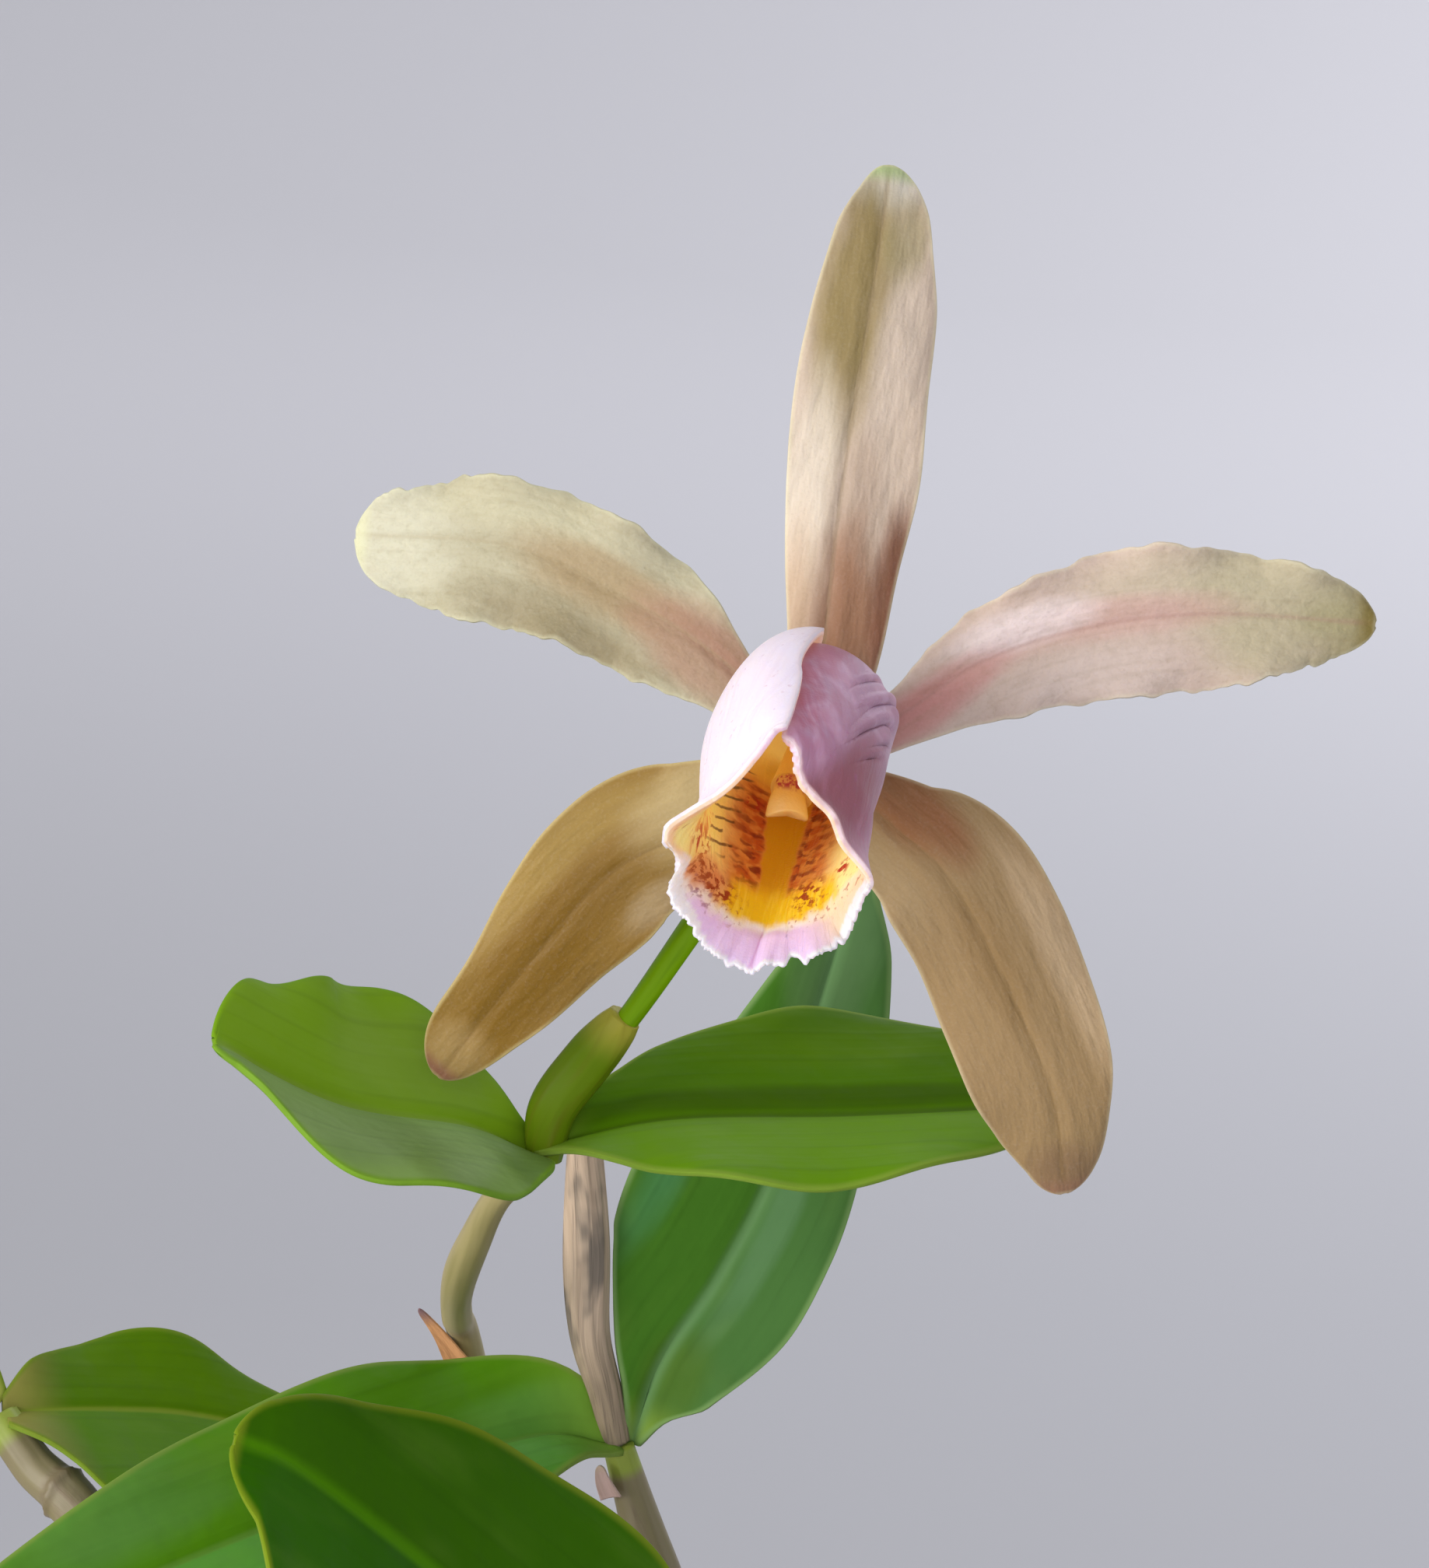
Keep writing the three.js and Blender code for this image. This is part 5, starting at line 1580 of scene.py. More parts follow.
@dataclass
class Foliage:
    """Two leaves on top of each leafy cane, each in its own green."""

    leaves: BladeRows = (
        ("leaf_right", Leaf(
            [(-4, -20.6, 220.7), (9.9, -19, 223.3), (29.2, -16, 222.9), (52.4, -11, 222.7)],
            [(0, 3, 1.8), (0.05, 3.6, 2.8), (0.14, 6.5, 7), (0.28, 12.5, 11.5), (0.43, 15, 13.5),
             (0.57, 16.5, 13), (0.71, 15.5, 10.5), (0.86, 11.5, 6.5), (0.95, 8.5, 3.5)],
            (0, -0.375, 0.927), 8), LeafCuticle(
                # the right half, the near and lower one, is lighter with painted sheen
                "leaf, upper right", left="#4b7404", right="#5f8a0e", rib="#3a5604", rim="#7c9636",
                foot="#6f8a2a", stains=(
                    Stain(-2.4, 0.5, 2.2, 0.6, "#365204", 0.7),
                    Stain(-11, 0.6, 5, 0.4, "#587c10", 0.5)))),
        ("leaf_left", Leaf(
            [(-3.6, -20.9, 219.8), (-10.4, -24.9, 224.2), (-22.8, -32.3, 228.6), (-34.1, -39, 236.6)],
            [(0, 2.5, 1.5), (0.1, 9, 4), (0.25, 15.5, 12.5), (0.4, 18, 16), (0.55, 17.5, 16), (0.7, 15.5, 14),
             (0.85, 8, 11), (0.95, 3.5, 11)], (0, -0.443, 0.896), 17), LeafCuticle(
                # the greyer left half, the near one, is painted sheen: the room reflected at a grazing view
                "leaf, upper left", left="#7c9c50", right="#739a14", rib="#749612", rim="#6c941c",
                foot="#4c6414", stains=(
                    Stain(-9, 0.12, 6, 0.14, "#56742e", 0.6),
                    Stain(7, 0.38, 7, 0.3, "#76962c", 0.7)))),
        ("leaf_back", Leaf(
            [(5, 20.8, 172.6), (8.5, 21.5, 182.4), (15.4, 21.4, 193.1), (21.5, 20.5, 205.7),
             (25.7, 19.3, 221.9), (31.9, 17.1, 243.8)],
            [(0, 1.2, 1), (0.05, 2.2, 3), (0.1, 4, 7), (0.25, 12.5, 10.5), (0.4, 15.5, 10.5),
             (0.55, 14, 9.5), (0.7, 9, 9), (0.85, 5, 6.5), (0.95, 3, 3.5)], (0, -1, 0), 8), LeafCuticle(
                # its pale, wide rib colour is a painted highlight along the midrib
                "leaf, back", left="#457522", right="#4a7438", rib="#6c9460", rib_mm=1.6, rim="#7ea060",
                foot="#8aa83c", foot_end=0.09, stains=(
                    # the first stain below, a pale band beside the rib, is a painted highlight
                    Stain(3, 0.42, 2.2, 0.3, "#6c9468", 0.45),
                    Stain(-12, 0.45, 3.4, 0.25, "#4f8a5a", 0.6), Stain(0, 0.85, 6, 0.2, "#5d7d52", 0.7),
                    Stain(2, 0.13, 5, 0.1, "#4c6c20", 0.7)))),
        ("leaf_low", Leaf(
            [(3, 19.8, 172.8), (-6.7, 13.3, 176.2), (-27.8, -8, 176.5), (-53.8, -32.7, 174.3),
             (-63.5, -42.9, 174.3)],
            [(0, 2, 2.2), (0.1, 6, 9), (0.25, 9.5, 13.5), (0.4, 11.5, 14.5), (0.55, 13, 13.5),
             (0.7, 12, 11), (0.85, 9, 8), (0.95, 6, 4.5)], (0.15, -0.5, 0.85), 12), LeafCuticle(
                "leaf, low", left="#569432", right="#52880e", rib="#5f8a2e", rim="#7c9440", foot="#84ac3c",
                stains=(
                    Stain(2, 0.12, 5, 0.14, "#68a048", 0.6),
                    Stain(8, 0.72, 7, 0.2, "#5c8c40", 0.7)))),
        ("leaf_far", Leaf(
            [(-70.2, 25.2, 174.8), (-65.4, 27.2, 174.3), (-57.9, 32, 172.5), (-49.2, 36.6, 170.1),
             (-32.8, 42.7, 164.3)],
            [(0, 2, 3.5), (0.1, 6.5, 8), (0.25, 9.5, 18.5), (0.4, 11.5, 18.5), (0.55, 11, 17), (0.7, 8, 14.5),
             (0.85, 5, 9.5), (0.95, 3, 5)], (0.1, -0.5, 0.85), 10), LeafCuticle(
                "leaf, far left", left="#4f7604", right="#4f7a0c",
                foot="#948c4a", foot_end=0.22)),
        ("leaf_outer", Leaf(
            [(-71.2, 25.4, 174.9), (-79, 25, 180), (-94, 22, 184), (-111, 18, 179), (-126, 14, 167)],
            [(0, 2.5, 2.5), (0.1, 7, 6), (0.3, 13, 13), (0.5, 15, 15), (0.7, 12, 12.5), (0.88, 7, 7.5),
             (1, 5, 5)], (0.15, -0.4, 0.9), 12), LeafCuticle(
                "leaf, outer left", left="#41680c", right="#4b7214",
                foot="#a9ad52")),
        ("leaf_front", Leaf(
            [(16.9, -33, 151.2), (10.1, -33.6, 157.7), (-8.6, -38.3, 177.2), (-24.7, -44.5, 193.9),
             (-32, -46.7, 198.9)],
            [(0, 2.5, 3), (0.1, 8.5, 10), (0.25, 16, 16.5), (0.4, 20.5, 18.5), (0.55, 23, 17.5),
             (0.7, 23, 15), (0.85, 18.5, 10.5), (0.95, 11, 8)], (0.1, -0.55, 0.83), 8), LeafCuticle(
                "leaf, front", left="#306602", right="#366404", rib="#528c06", rim="#7a8c1e", rim_mm=1.3,
                rib_mm=1.5)),
        ("leaf_lowest", Leaf(
            [(18, -32.4, 150.8), (27, -31, 149), (43, -27, 142), (61, -22, 130), (74, -18, 114)],
            [(0, 2.5, 2.5), (0.1, 7, 6), (0.3, 13.5, 13.5), (0.5, 15.5, 15.5), (0.7, 13, 13), (0.88, 7.5, 7),
             (1, 5, 5)], (0.35, -0.35, 0.87), 12), LeafCuticle(
                "leaf, lowest", left="#33580a", right="#3a600f", rib="#5c8a1c", rim="#76861e", rim_mm=1.3)),
    )

    def build(self) -> None:
        """Makes every leaf."""
        for name, blade, finish in self.leaves:
            dress(blade.build(f"{name}_blade", finish), "leaf", name)


# ---------------- the bloom
BLOOM_CENTRE = np.array([24.0, -35.0, 265.0])
BLOOM_LEAN = math.radians(10)


def in_bloom(points: np.ndarray) -> np.ndarray:
    """Moves points from the bloom's frame, X right, Y away and Z up, into the plant's."""
    c, s = math.cos(BLOOM_LEAN), math.sin(BLOOM_LEAN)
    axes = np.array([[1, 0, 0], [0, c, -s], [0, s, c]])
    return BLOOM_CENTRE + points @ axes


@dataclass(frozen=True)
class Sepal(Blade):
    """A thin blade that faces the viewer."""

    face: Point = (0, -1, 0)
    fold: float = -6.0
    waves: Sequence[Wave] = ()
    thick: float = 0.9
    rim_thick: float = 0.22
    rows: int = 170
    columns: int = 57


@dataclass(frozen=True)
class Petal(Sepal):
    """A blade as a sepal's, folded the other way, with a softer groove and a scalloped margin."""

    fold: float = 4.0
    groove: float = 0.2
    scallop: float = 0.12
    pucker: float = 0.05


@dataclass
class Tepals:
    """Three sepals behind and two petals in front of them."""

    petals: BladeRows = (
        ("left_petal", Petal(
            [(-1.4, 0, 1.3), (-8.3, 1, 8.7), (-17.5, 2.5, 14.8), (-29.1, 6, 20.3), (-45.5, 13, 22)],
            [(0, 2, 2), (0.15, 4.5, 2), (0.3, 6.5, 5), (0.45, 7, 6.5), (0.6, 8, 6.5), (0.75, 8, 6.5),
             (0.87, 6.5, 5), (0.95, 6, 5)],
            waves=(Wave(1.1, 4.5, 0.4, 1, 0.2), Wave(0.9, 4, 1.9, -1, 0.25))), PetalTissue(
                "petal tissue, left", blade="#aea88c", rim="#d4d5b4", rim_amount=0.3, rib="#9a8a66",
                rib_amount=0.3, tip="#cfcfa8", stains=(
                    Stain(0, 0.95, 9, 0.2, "#c8c6ae"), Stain(4, 0.66, 3.2, 0.22, "#bdb899", 0.7),
                    Stain(-5.6, 0.5, 3.6, 0.3, "#887c5c"), Stain(0, 0.46, 4, 0.24, "#9a8058", 0.7),
                    # the second stain below, a soft brown-rose streak at the foot, is painted shade
                    Stain(-0.5, 0.2, 5, 0.24, "#a5826a"), Stain(0.8, 0.14, 2.2, 0.22, "#8e5a48", 0.45)))),
        ("right_petal", Petal(
            [(1.9, 0, 0), (9.1, 0, 3.6), (17, -1, 8.7), (27, -2.5, 11.9), (38.8, -4, 13.1), (54.6, -3, 12.2)],
            [(0, 1.5, 2), (0.15, 2.5, 3.5), (0.3, 4.5, 6), (0.45, 6, 7), (0.6, 7, 7.5), (0.75, 6, 7),
             (0.87, 5, 5), (0.95, 4.5, 4)],
            waves=(Wave(1.1, 4.5, 2.1, -1, 0.2), Wave(0.9, 4, 0.2, 1, 0.25))), PetalTissue(
                "petal tissue, right", blade="#c1ad9f", rim="#dcd8ba", rim_amount=0.3, rib="#a07a6c",
                rib_amount=0.35, tip="#7c6c30", stains=(
                    Stain(0, 1, 8, 0.16, "#6e6020", 0.9), Stain(0, 0.84, 9, 0.2, "#b4ad88", 0.7),
                    Stain(-4, 0.74, 3.5, 0.3, "#b9b092", 0.6), Stain(4.8, 0.5, 3, 0.2, "#cdbdb4", 0.6),
                    Stain(-0.5, 0.54, 2.4, 0.28, "#c29a90", 0.6), Stain(-1.8, 0.4, 2.6, 0.15, "#e8dad8", 0.7),
                    Stain(0.6, 0.14, 3, 0.24, "#bd7a74")))),
    )
    sepals: BladeRows = (
        ("dorsal_sepal", Sepal(
            [(0.6, 1.6, 0.5), (2.8, -1, 22.9), (6.5, -2, 47), (7.9, 1, 57.2)],
            [(0, 3.5, 3.5), (0.15, 3.5, 5.5), (0.3, 4.5, 6.5), (0.45, 5.5, 7.5), (0.6, 6, 7),
             (0.75, 5.5, 6.5), (0.87, 4.5, 5), (0.95, 3.5, 4.5)],
            fold=-8, waves=(Wave(0.5, 2.5, 0),), groove=0.32, pucker=0.03), TepalTissue(
                "sepal tissue, upper", blade="#c4b29f", rim="#d9d0ac", rib="#8a7656", rib_amount=0.4,
                tip="#9aae74", stains=(
                    Stain(0, 0.96, 4.5, 0.07, "#cdc9bb"), Stain(-1.6, 0.75, 4.6, 0.3, "#82703a", 0.9),
                    Stain(2.6, 0.86, 2.6, 0.1, "#8f8458", 0.7), Stain(3.4, 0.66, 2.8, 0.18, "#d0bfac", 0.7),
                    # the first stain below, cream on the left, is painted light on the sepal's lit side
                    Stain(-3.4, 0.42, 3.6, 0.24, "#dcd0bc"), Stain(1.6, 0.4, 3.4, 0.16, "#b09a86", 0.7),
                    Stain(1.6, 0.16, 4.6, 0.26, "#916444", 0.9), Stain(6, 0.26, 2.4, 0.2, "#7e4a2e", 0.9),
                    Stain(-3.4, 0.14, 2.4, 0.3, "#b99c7e"), Stain(0.2, 0.05, 3, 0.14, "#8a5c34")))),
        ("left_sepal", Sepal(
            [(-1.8, 2, -1.9), (-10.2, 3, -7.4), (-18.3, 4.5, -11.2), (-24.5, 6, -17.3), (-37.3, 13, -32.8)],
            [(0, 1.5, 1.5), (0.15, 3.5, 6), (0.3, 6, 8), (0.45, 7.5, 7.5), (0.6, 6.5, 6.5), (0.75, 5.5, 5),
             (0.87, 4, 4.5), (0.95, 3.5, 4.5)], waves=(Wave(0.5, 2.5, 1, 0, 0.2),),
            groove=0.3), TepalTissue(
                "sepal tissue, left", blade="#86672a", rim="#cfc08a", rib="#74592a", tip="#8a5a4c", stains=(
                    Stain(5.4, 0.48, 3, 0.4, "#9c8142"), Stain(2, 0.16, 6, 0.22, "#bca878", 0.75),
                    Stain(-0.6, 0.64, 4.6, 0.32, "#74540a", 0.85),
                    Stain(-5, 0.35, 2.4, 0.16, "#a8926c", 0.7),
                    Stain(0, 0.94, 4, 0.1, "#a88c5a", 0.7)))),
        ("right_sepal", Sepal(
            [(1.6, 2, -2), (8.4, 2, -7.6), (14.7, 2, -14.1), (23.6, 5, -32.6), (25.8, 9, -44.2)],
            [(0, 1.5, 1.5), (0.15, 5, 5), (0.3, 8, 7), (0.45, 8.5, 7), (0.6, 8, 7.5), (0.75, 7, 7.5),
             (0.87, 5, 6), (0.95, 4.5, 4.5)], waves=(Wave(0.5, 2.5, 2.5, 0, 0.2),), groove=0.3), TepalTissue(
                "sepal tissue, right", blade="#9b8058", rim="#cdbf9c", rib="#7c6238", tip="#8d6a52",
                relief_mm=0.24, stains=(
                    Stain(-2.5, 0.16, 4.4, 0.18, "#8a5834", 0.9), Stain(5, 0.22, 3, 0.2, "#a08862"),
                    Stain(-6.4, 0.54, 2.8, 0.28, "#bea480", 0.85), Stain(0, 0.5, 2.8, 0.2, "#8a6c40", 0.5),
                    Stain(0, 0.96, 5, 0.09, "#7d6248", 0.7)))),
    )

    def build(self) -> None:
        """Makes the five tepals."""
        for slot, group in (("petal", self.petals), ("sepal", self.sepals)):
            for name, blade, finish in group:
                dress(blade.build(f"{name}_blade", finish, in_bloom), slot, name)


@dataclass(frozen=True)
class Push:
    """A shift of the lip round one angle, along its margin or round one place of the floor's length."""

    angle: float
    spread: float
    across: float
    up: float = 0.0
    place: Optional[float] = None
    length: float = 1.0


@dataclass(frozen=True)
class Crease:
    """A wrinkle across the lip: its middle, its reach round the roll, its slant and its depth."""

    angle: float
    along: float
    spread: float
    slant: float = 0.0
    depth: float = 0.5
    width: float = 0.5
    bend: float = 0.006  # millimetres for each squared degree

    RIDGE = (2.2, 1.6, 0.8)  # how far behind it the ridge lies, how wide and how high, against the crease


@dataclass(frozen=True)
class Frill:
    """A wave round the front lobe's margin: its height in millimetres, waves a turn, phase and start."""

    height: float
    count: float
    phase: float
    start: float


@dataclass
class Lip:
    """The lip: one sheet rolled round the column, with two side lobes and a frilled, toothed front lobe.

    The angle runs round the roll from the floor (0) to the free edges of the side lobes, and v runs
    from the sheet's base (0) to its margin (1). The margins give, for each angle, how far along the floor
    the sheet reaches.
    """

    rows: int = 150
    columns: int = 300
    thick: float = 0.75
    rim: float = 0.25
    lobe_rim: float = 0.4
    spiral: float = 0.05
    floor: Sequence[Point] = ((0.3, 0.5, -2.5), (-0.2, -5, -4), (-0.6, -10, -5.5), (-2, -16.5, -9.2),
                              (-3.8, -24.5, -14.2), (-4.6, -30, -17.4), (-5.4, -34.5, -19.8))
    radius: Rows = ((0, 1.2), (0.06, 4.6), (0.13, 6.6), (0.27, 8.3), (0.45, 8.7), (0.62, 8.7), (0.73, 8.8),
                    (0.85, 11.5), (1, 17))
    squareness: Rows = ((0, 0), (0.4, 0.05), (0.6, 0.3), (0.75, 0.5), (1, 0.3))
    shear: Rows = ((0, 0), (0.35, 0.02), (0.55, 0.12), (0.7, 0.2), (1, 0.2))
    left_margin: Rows = ((0, 0.975), (15, 0.955), (30, 0.905), (45, 0.865), (55, 0.81), (64, 0.745),
                         (72, 0.755), (82, 0.775), (95, 0.76), (120, 0.735), (150, 0.71), (180, 0.685),
                         (200, 0.67))
    right_margin: Rows = ((0, 0.975), (15, 0.98), (30, 0.93), (42, 0.89), (52, 0.88), (60, 0.87),
                          (68, 0.855), (76, 0.84), (84, 0.815), (95, 0.775), (120, 0.73), (150, 0.7),
                          (180, 0.665), (200, 0.65))
    left_edge: Rows = ((0, 186), (0.2, 190), (0.4, 191), (0.6, 190), (0.8, 188), (1, 184))
    right_edge: Rows = ((0, 182), (0.3, 186), (0.7, 185), (1, 181))
    push_from: float = 0.72
    pushes: Sequence[Push] = (
        Push(-180, 25, -1.2), Push(-88, 18, -3.4), Push(-58, 14, -2), Push(55, 14, -1.1),
        Push(70, 14, 0, -1.05), Push(84, 13, -2.1), Push(122, 38, -3.5), Push(176, 20, -0.6),
        Push(-125, 42, 1.2, -0.5, 0.36, 0.2), Push(78, 26, 1.1, 0, 0.73, 0.11),
        Push(100, 22, 0.6, 0, 0.42, 0.15), Push(97, 12, 0.5, 0, 0.25, 0.045))
    creases: Sequence[Crease] = (
        Crease(112, 12.2, 12, 0.3), Crease(118, 18.4, 9, 0.34, 0.5), Crease(108, 21, 7, 0.25, 0.3, 0.4),
        Crease(128, 11.6, 8, 0.27, 0.35, 0.4), Crease(106, 14.4, 12, 0.22, 0.45),
        Crease(102, 17.2, 8, 0.26, 0.35, 0.4), Crease(122, 14.6, 7, 0.3, 0.3, 0.4))
    front_spread: float = 62.0
    frills: Sequence[Frill] = (Frill(0.3, 7.5, 0, 0.72), Frill(0.2, 19, 1, 0.72),
                               Frill(0.12, 41, 0.6, 0.86), Frill(0.08, 67, 0, 0.88))
    crowding: float = 0.45  # how far the mesh's columns crowd towards the front lobe
    tooth_degrees: float = 2.4
    tooth: float = 0.01  # as a share of the floor's length
    chip_degrees: float = 5.9
    chip: float = 0.008
    notch_at: float = 11.0
    notch_spread: float = 2.2
    notch: float = 0.04
    point_at: float = -2.0
    point: float = 0.01
    channel_deep: float = 0.5
    channel_spread: float = 14.0
    fold_at: float = -3.0
    fold_spread: float = 3.2
    fold_deep: float = 0.4
    tissue: Finish = LipTissue("lip tissue")

    CHANNEL_STARTS = (0.3, 0.5)  # these three as shares of the floor's length
    CHANNEL_ENDS = (0.86, 0.8)
    FOLD_STARTS = (0.74, 0.86)
    POINT_SPREAD = 3.0
    UNEVEN = (0.6, 0.31)  # how unevenly the teeth are spaced: in teeth, and radians a degree
    CHIP_SHIFT = 0.3
    FULL_MM = 2.5  # from the margin to the full thickness

    def surface(self, angle: np.ndarray, v: np.ndarray) -> tuple[np.ndarray, np.ndarray]:
        """The sheet's middle surface.

        Args:
            angle: degrees round the roll.
            v: share of the way from base to margin.

        Returns:
            Its points in the bloom's frame, and how many millimetres along the floor they lie.
        """
        path = Path(self.floor)
        margin = np.where(angle < 0, ramp(self.left_margin, -angle), ramp(self.right_margin, angle))
        reach = margin * v
        turn = np.radians(angle)
        forward = path.direction(reach)
        up = unit(np.array([0, 0, 1.0]) - forward * forward[..., 2:3])
        side = np.cross(up, forward)
        radius = ramp(self.radius, reach) * (1 - self.spiral * turn / math.pi)
        drop = 1 - np.cos(turn)
        x = radius * np.sin(turn) * (1 - ramp(self.squareness, reach) * drop / 2)
        z = radius * drop
        x = x + ramp(self.shear, reach) * z
        edge = np.clip((v - self.push_from) / (1 - self.push_from), 0, 1) ** 2
        for push in self.pushes:
            near = hump(angle, push.angle, push.spread)
            near = near * (edge if push.place is None else hump(reach, push.place, push.length))
            x, z = x + near * push.across, z + near * push.up
        front = np.exp(-((angle / self.front_spread) ** 4))
        for frill in self.frills:
            near = front * np.clip((v - frill.start) / (1 - frill.start), 0, 1) ** 2
            z = z + near * frill.height * np.sin(frill.count * turn + frill.phase)
        channel = hump(angle, 0, self.channel_spread) * fade(reach, *self.CHANNEL_STARTS)
        z = z - self.channel_deep * (channel * fade(reach, *self.CHANNEL_ENDS))
        z = z - self.fold_deep * hump(angle, self.fold_at, self.fold_spread) * fade(reach, *self.FOLD_STARTS)
        return path.at(reach) + side * x[..., None] + up * z[..., None], reach * path.length

    def wrinkled(self, grid: np.ndarray, angle: np.ndarray, along: np.ndarray) -> np.ndarray:
        """Presses the creases into the sheet, each with a soft ridge behind it.

        Args:
            grid: the sheet's points.
            angle: degrees round the roll at each.
            along: millimetres from the base at each.

        Returns:
            The wrinkled points.
        """
        height = np.zeros(angle.shape)
        for crease in self.creases:
            round_by = angle - crease.angle
            off = along - crease.along - crease.slant * round_by - crease.bend * round_by ** 2
            near = hump(round_by, 0.0, crease.spread)
            behind, wide, high = crease.RIDGE
            ridge = hump(off, -behind * crease.width, wide * crease.width)
            height = height + near * crease.depth * (high * ridge - hump(off, 0.0, crease.width))
        normal = unit(np.cross(np.gradient(grid, axis=1), np.gradient(grid, axis=0)))
        return grid + normal * height[..., None]

    def build(self) -> None:
        """Makes the lip's mesh with its frills, teeth, notch and creases."""
        v = np.sin(np.linspace(0, 1, self.rows) * math.pi / 2)[:, None]
        u = np.linspace(-1, 1, self.columns)[None, :]
        v, u = np.broadcast_arrays(v, u * (1 - self.crowding * (1 - u * u)))
        angle = np.where(u < 0, u * ramp(self.left_edge, v), u * ramp(self.right_edge, v))
        front = np.exp(-((angle / self.front_spread) ** 4))
        uneven, pace = self.UNEVEN
        saw = 2 * np.abs((angle / self.tooth_degrees + uneven * np.sin(pace * angle)) % 1 - 0.5)
        chips = 2 * np.abs((angle / self.chip_degrees + self.CHIP_SHIFT) % 1 - 0.5)
        cut = self.tooth * saw ** 1.5 + self.chip * chips ** 3
        cut = cut + self.notch * np.exp(-(((angle - self.notch_at) / self.notch_spread) ** 4))
        cut = cut - self.point * hump(angle, self.point_at, self.POINT_SPREAD)
        worn = self.tooth / 5 * np.sin(angle / 2) * (1 - front)
        grid, along = self.surface(angle, v * (1 - cut * front - worn))
        across = np.zeros(angle.shape)
        across[:, 1:] = np.cumsum(np.linalg.norm(np.diff(grid, axis=1), axis=-1), axis=1)
        across = across - across[:, self.columns // 2][:, None]
        free = np.minimum(across - across[:, :1], across[:, -1:] - across)
        rest = np.zeros(angle.shape)
        rest[:-1] = np.cumsum(np.linalg.norm(np.diff(grid, axis=0), axis=-1)[::-1], axis=0)[::-1]
        edge = np.minimum(rest, free)
        grid = self.wrinkled(grid, angle, along)
        rim = self.rim + self.lobe_rim * (1 - front)
        thick = rim + (self.thick - rim) * np.sqrt(np.clip(edge / self.FULL_MM, 0, 1))
        made = sheet_object("lip_sheet", in_bloom(grid), thick, np.dstack([across, along]),
                            np.dstack([angle, v, edge]), self.tissue)
        dress(made, "lip", "lip")


@dataclass
class Column:
    """The column under the rolled lip, with the anther cap on its tip."""

    body: Stem = Stem([(0.4, 2.6, 1.4), (0.2, -4, 1.4), (-0.8, -12, -0.6), (-2.1, -18.6, -4)],
                      [(0, 2.6), (0.3, 1.8), (0.7, 1.8), (1, 2.1)], oval=0.85, rows=120)
    wax: Finish = ColumnWax("column wax")
    cap: Stem = Stem([(-2.2, -19.6, -2.4), (-2.3, -19.9, -3.6), (-2.5, -20.3, -4.9), (-2.6, -20.5, -6.2)],
                     [(0, 0.8), (0.12, 1.25), (0.5, 1.6), (0.85, 1.95), (0.97, 2.0), (1, 1.8)], oval=0.62,
                     rows=70, teeth=0.28)
    cap_wax: Finish = ColumnWax("anther cap wax", top="#dcae5c", flush="#a42c3c", flush_at=0.22,
                                flush_reach=0.3, lower="#e2be78")

    def build(self) -> None:
        """Makes the column and its cap."""
        dress(self.body.build("column_body", self.wax, in_bloom), "column", "column")
        dress(self.cap.build("anther_cap_dome", self.cap_wax, in_bloom), "column", "anther_cap")


@dataclass
class FlowerStalk:
    """The green stalk of the bloom, the sheath at its foot, and last season's dry sheath."""

    stalk: Stem = Stem(
        [(-1.7, -20.8, 226), (2.1, -21.2, 230.4), (5.9, -22.6, 235), (11.8, -24.7, 244), (18, -25.8, 253.6),
         (22.6, -28.4, 261), (24, -31.6, 264.6)],
        [(0, 1.1), (0.3, 1.25), (0.75, 1.6), (0.93, 2.1), (1, 2.6)], rows=200)
    skin: Finish = StemSkin("flower stalk skin", top="#80ae06", foot="#739c0a", rough=0.38,
                            streaks=Grain("#4f7408", 0.4, (1.1, 18, 99), 0.5, 0.72))
    sheath: Stem = Stem(
        [(-3.0, -20.8, 219.6), (-2.0, -20.8, 225), (1.5, -21.0, 230.0), (5.6, -22.8, 235.3)],
        [(0, 1.9), (0.3, 2.6), (0.7, 2.7), (0.9, 2.3), (1, 1.8)], oval=0.8, rows=120, ripple=0.04)
    green: Finish = StemSkin("green sheath", top="#a8a23a", foot="#66810c", foot_end=0.7, top_from=1.0,
                             streaks=Grain("#6f6a1c", 0.4, (1.4, 18, 99), 0.48, 0.7))
    dry_sheath: Stem = Stem(
        [(3.2, 19.8, 172.9), (1.9, 19.9, 179.3), (0.1, 19.4, 187.4), (-0.1, 18.6, 200.3),
         (-0.1, 16.8, 213.3)],
        [(0, 1.5), (0.3, 2.2), (0.6, 2.7), (1, 1.8)], oval=0.6, rows=160, ripple=0.12)
    paper: Finish = DryBract("dry sheath paper", tip="#94826c", tip_share=(0.45, 0.15))

    def build(self) -> None:
        """Makes the stalk and both sheaths."""
        dress(self.stalk.build("flower_stalk", self.skin), "flower_stalk", "pedicel")
        dress(self.sheath.build("green_flower_sheath", self.green), "green_sheath", "flower_sheath")
        dress(self.dry_sheath.build("old_dry_sheath", self.paper), "dry_bract", "dry_sheath")


# ---------------- studio
@dataclass(frozen=True)
class Lamp:
    """A soft square light: where it hangs, what it shines at, its side and power, and its colour."""

    place: Point
    target: Point
    size: float
    watts: float
    colour: str

    def hang(self, name: str) -> None:
        """Hangs the light."""
        light = bpy.data.lights.new(name, "AREA")
        light.size = self.size * MM
        light.energy = self.watts
        light.color = linear(self.colour)[:3]
        made = bpy.data.objects.new(name, light)
        made.location = [v * MM for v in self.place]
        away = unit(np.subtract(self.place, self.target))
        made.rotation_euler = (math.acos(away[2]), 0, math.atan2(away[0], -away[1]))
        bpy.context.collection.objects.link(made)


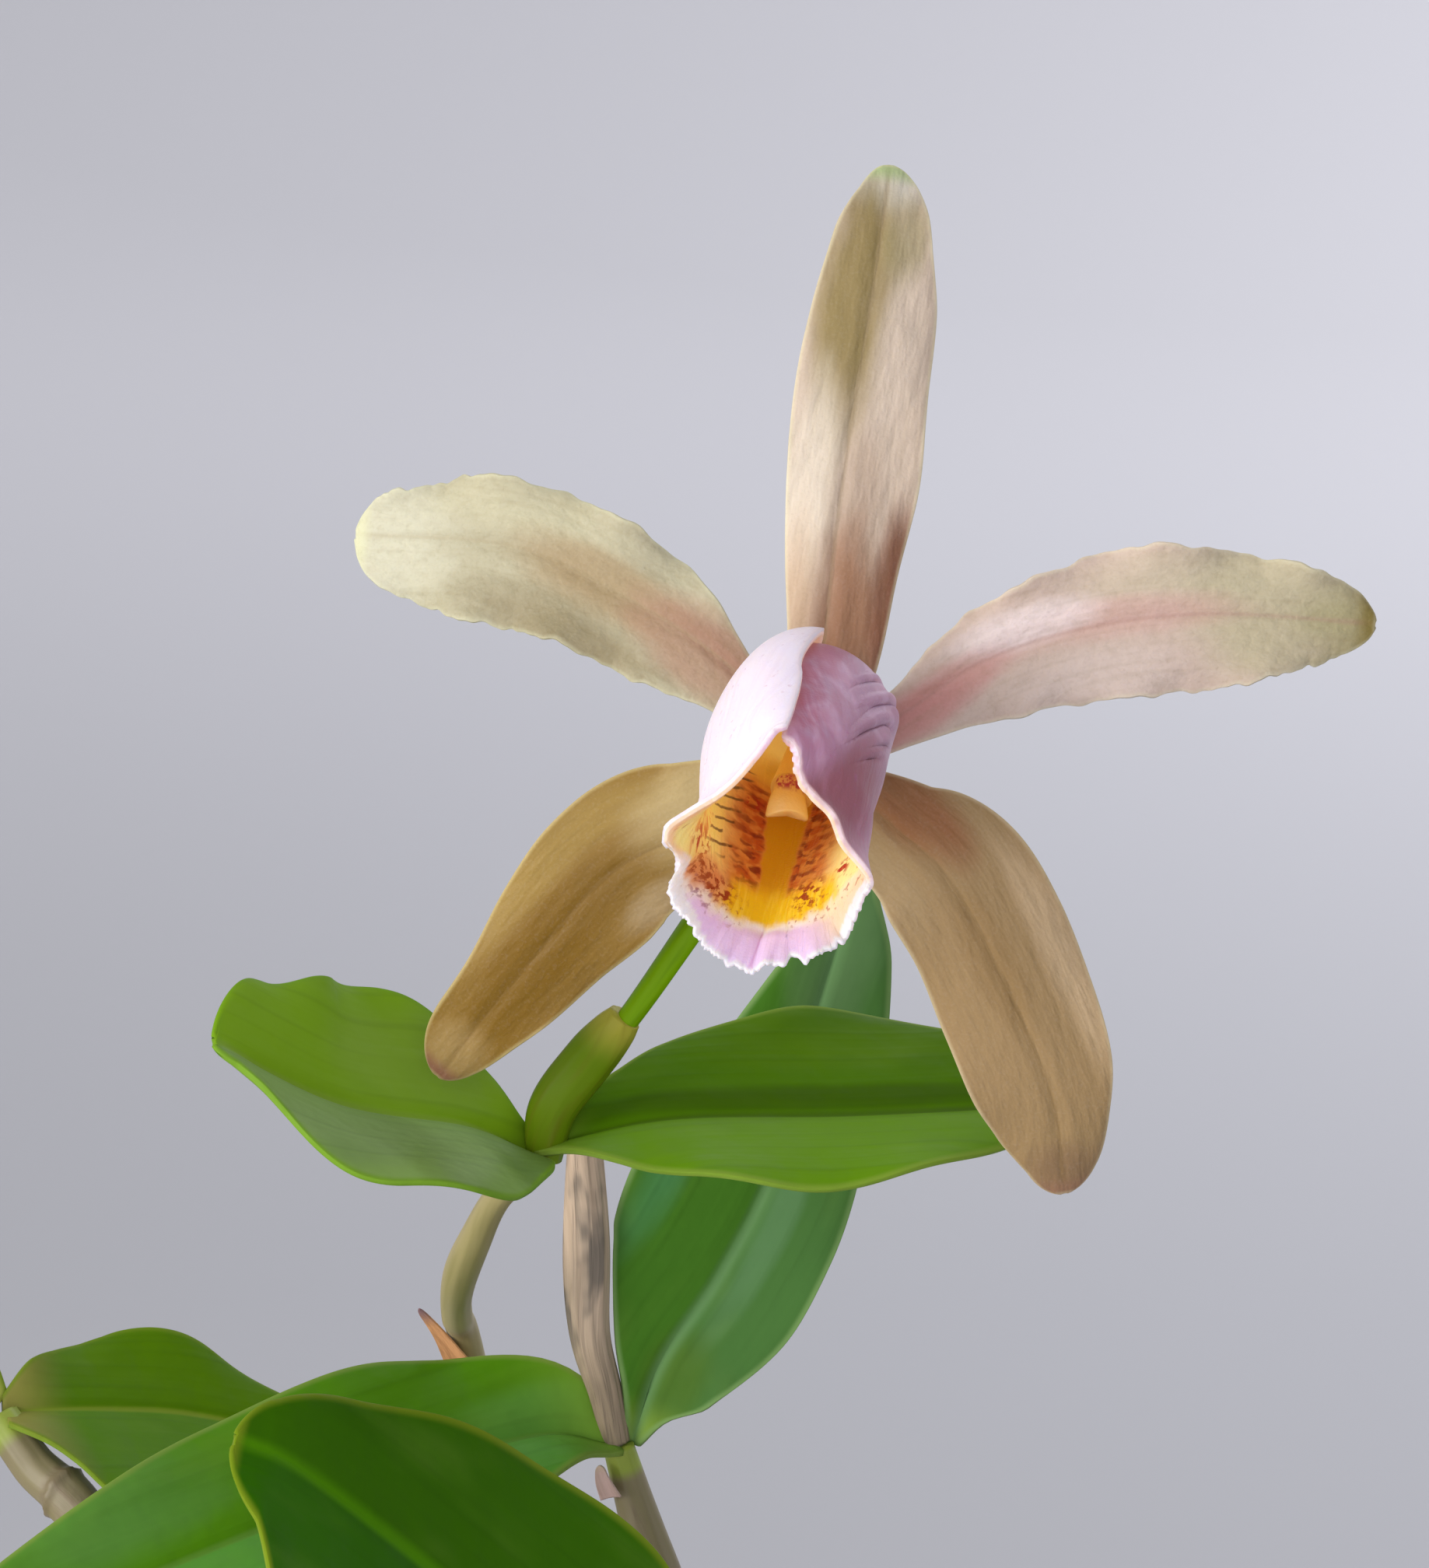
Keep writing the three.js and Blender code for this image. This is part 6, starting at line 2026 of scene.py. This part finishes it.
@dataclass
class Studio:
    """A pale round sweep under and round the pot, soft lights, and the camera."""

    floor_radius: float = 600.0
    floor_drop: float = 0.05
    bend: float = 1500.0
    rise: float = 800.0
    rings: int = 32
    turns: int = 128
    hub_mm: float = 1.0  # the flat round middle that the floor's faces end at
    camera_place: Point = (14.795, -360.552, 319.096)
    camera_drop: float = 10.0
    frame_pixels: tuple[int, int] = (1837, 2016)
    focal_pixels: float = 4356.0
    film_mm: float = 36.0
    near_m: float = 0.01
    room: str = "#e2e3e9"
    room_strength: float = 0.56
    lamps: dict[str, Lamp] = field(default_factory=lambda: {
        "window_light": Lamp((-900, -600, 480), (0, -20, 230), 560, 10.6, "#fffaf4"),
        "front_light": Lamp((-60, -1050, 420), (0, 0, 220), 800, 5, "#f8f8ff"),
        "back_light": Lamp((250, 900, 900), (0, 0, 200), 700, 2.5, "#f6f4ff"),
        "backdrop_light": Lamp((900, 600, 1100), (900, 1500, 60), 900, 11.5, "#f8f8ff"),
    })
    paper: Finish = MattPaper("studio paper")

    def build(self) -> None:
        """Makes the sweep, the lights, the room's light and the camera."""
        self.sweep()
        for name, lamp in self.lamps.items():
            lamp.hang(name)
        world = bpy.data.worlds.new("soft room")
        world.use_nodes = True
        ground = world.node_tree.nodes["Background"]
        ground.inputs["Color"].default_value = linear(self.room)
        ground.inputs["Strength"].default_value = self.room_strength
        bpy.context.scene.world = world
        bpy.context.scene.view_settings.view_transform = "Standard"
        self.camera()

    def sweep(self) -> None:
        """Makes the floor, which bends up into a wall all round."""
        steepest = math.acos(1 - self.rise / self.bend)
        arc = [(self.floor_radius + self.bend * math.sin(a), self.bend * (1 - math.cos(a)))
               for a in np.linspace(0, steepest, self.rings)]
        profile = np.array([(self.hub_mm, 0.0), *arc])
        points = turned(profile, self.turns)
        points[:, 2] -= self.floor_drop
        faces = [tuple(reversed(face)) for face in grid_faces(len(profile), self.turns, closed=True)]
        faces.append(tuple(range(self.turns)))
        mesh_object("studio_sweep", points, faces, {}, self.paper)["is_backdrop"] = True

    def camera(self) -> None:
        """Stands the camera in front of the bloom, looking a little down."""
        view = bpy.data.cameras.new("camera")
        view.sensor_width = self.film_mm
        view.lens = self.focal_pixels / max(self.frame_pixels) * self.film_mm
        view.clip_start = self.near_m
        made = bpy.data.objects.new("camera", view)
        made.location = [v * MM for v in self.camera_place]
        made.rotation_euler = (math.radians(90 - self.camera_drop), 0, 0)
        bpy.context.collection.objects.link(made)
        bpy.context.scene.camera = made


def corners() -> list[list[float]]:
    """The shown object's lowest and highest corner as plain lists."""
    return [[float(v) for v in corner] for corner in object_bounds()]


def main() -> None:
    """Builds every sub-assembly in order."""
    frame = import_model()
    LOG.info("the frame holds %d nodes", len(frame["nodes"]))
    pot = Pot()
    for part in (Studio(), pot, BarkFill(pot), Rootstock(), Canes(), Foliage(), FlowerStalk(), Tepals(),
                 Column(), Lip()):
        part.build()
    bpy.context.view_layer.update()
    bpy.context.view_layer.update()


if __name__ == "__main__":
    logging.basicConfig(level=logging.INFO)
    main()
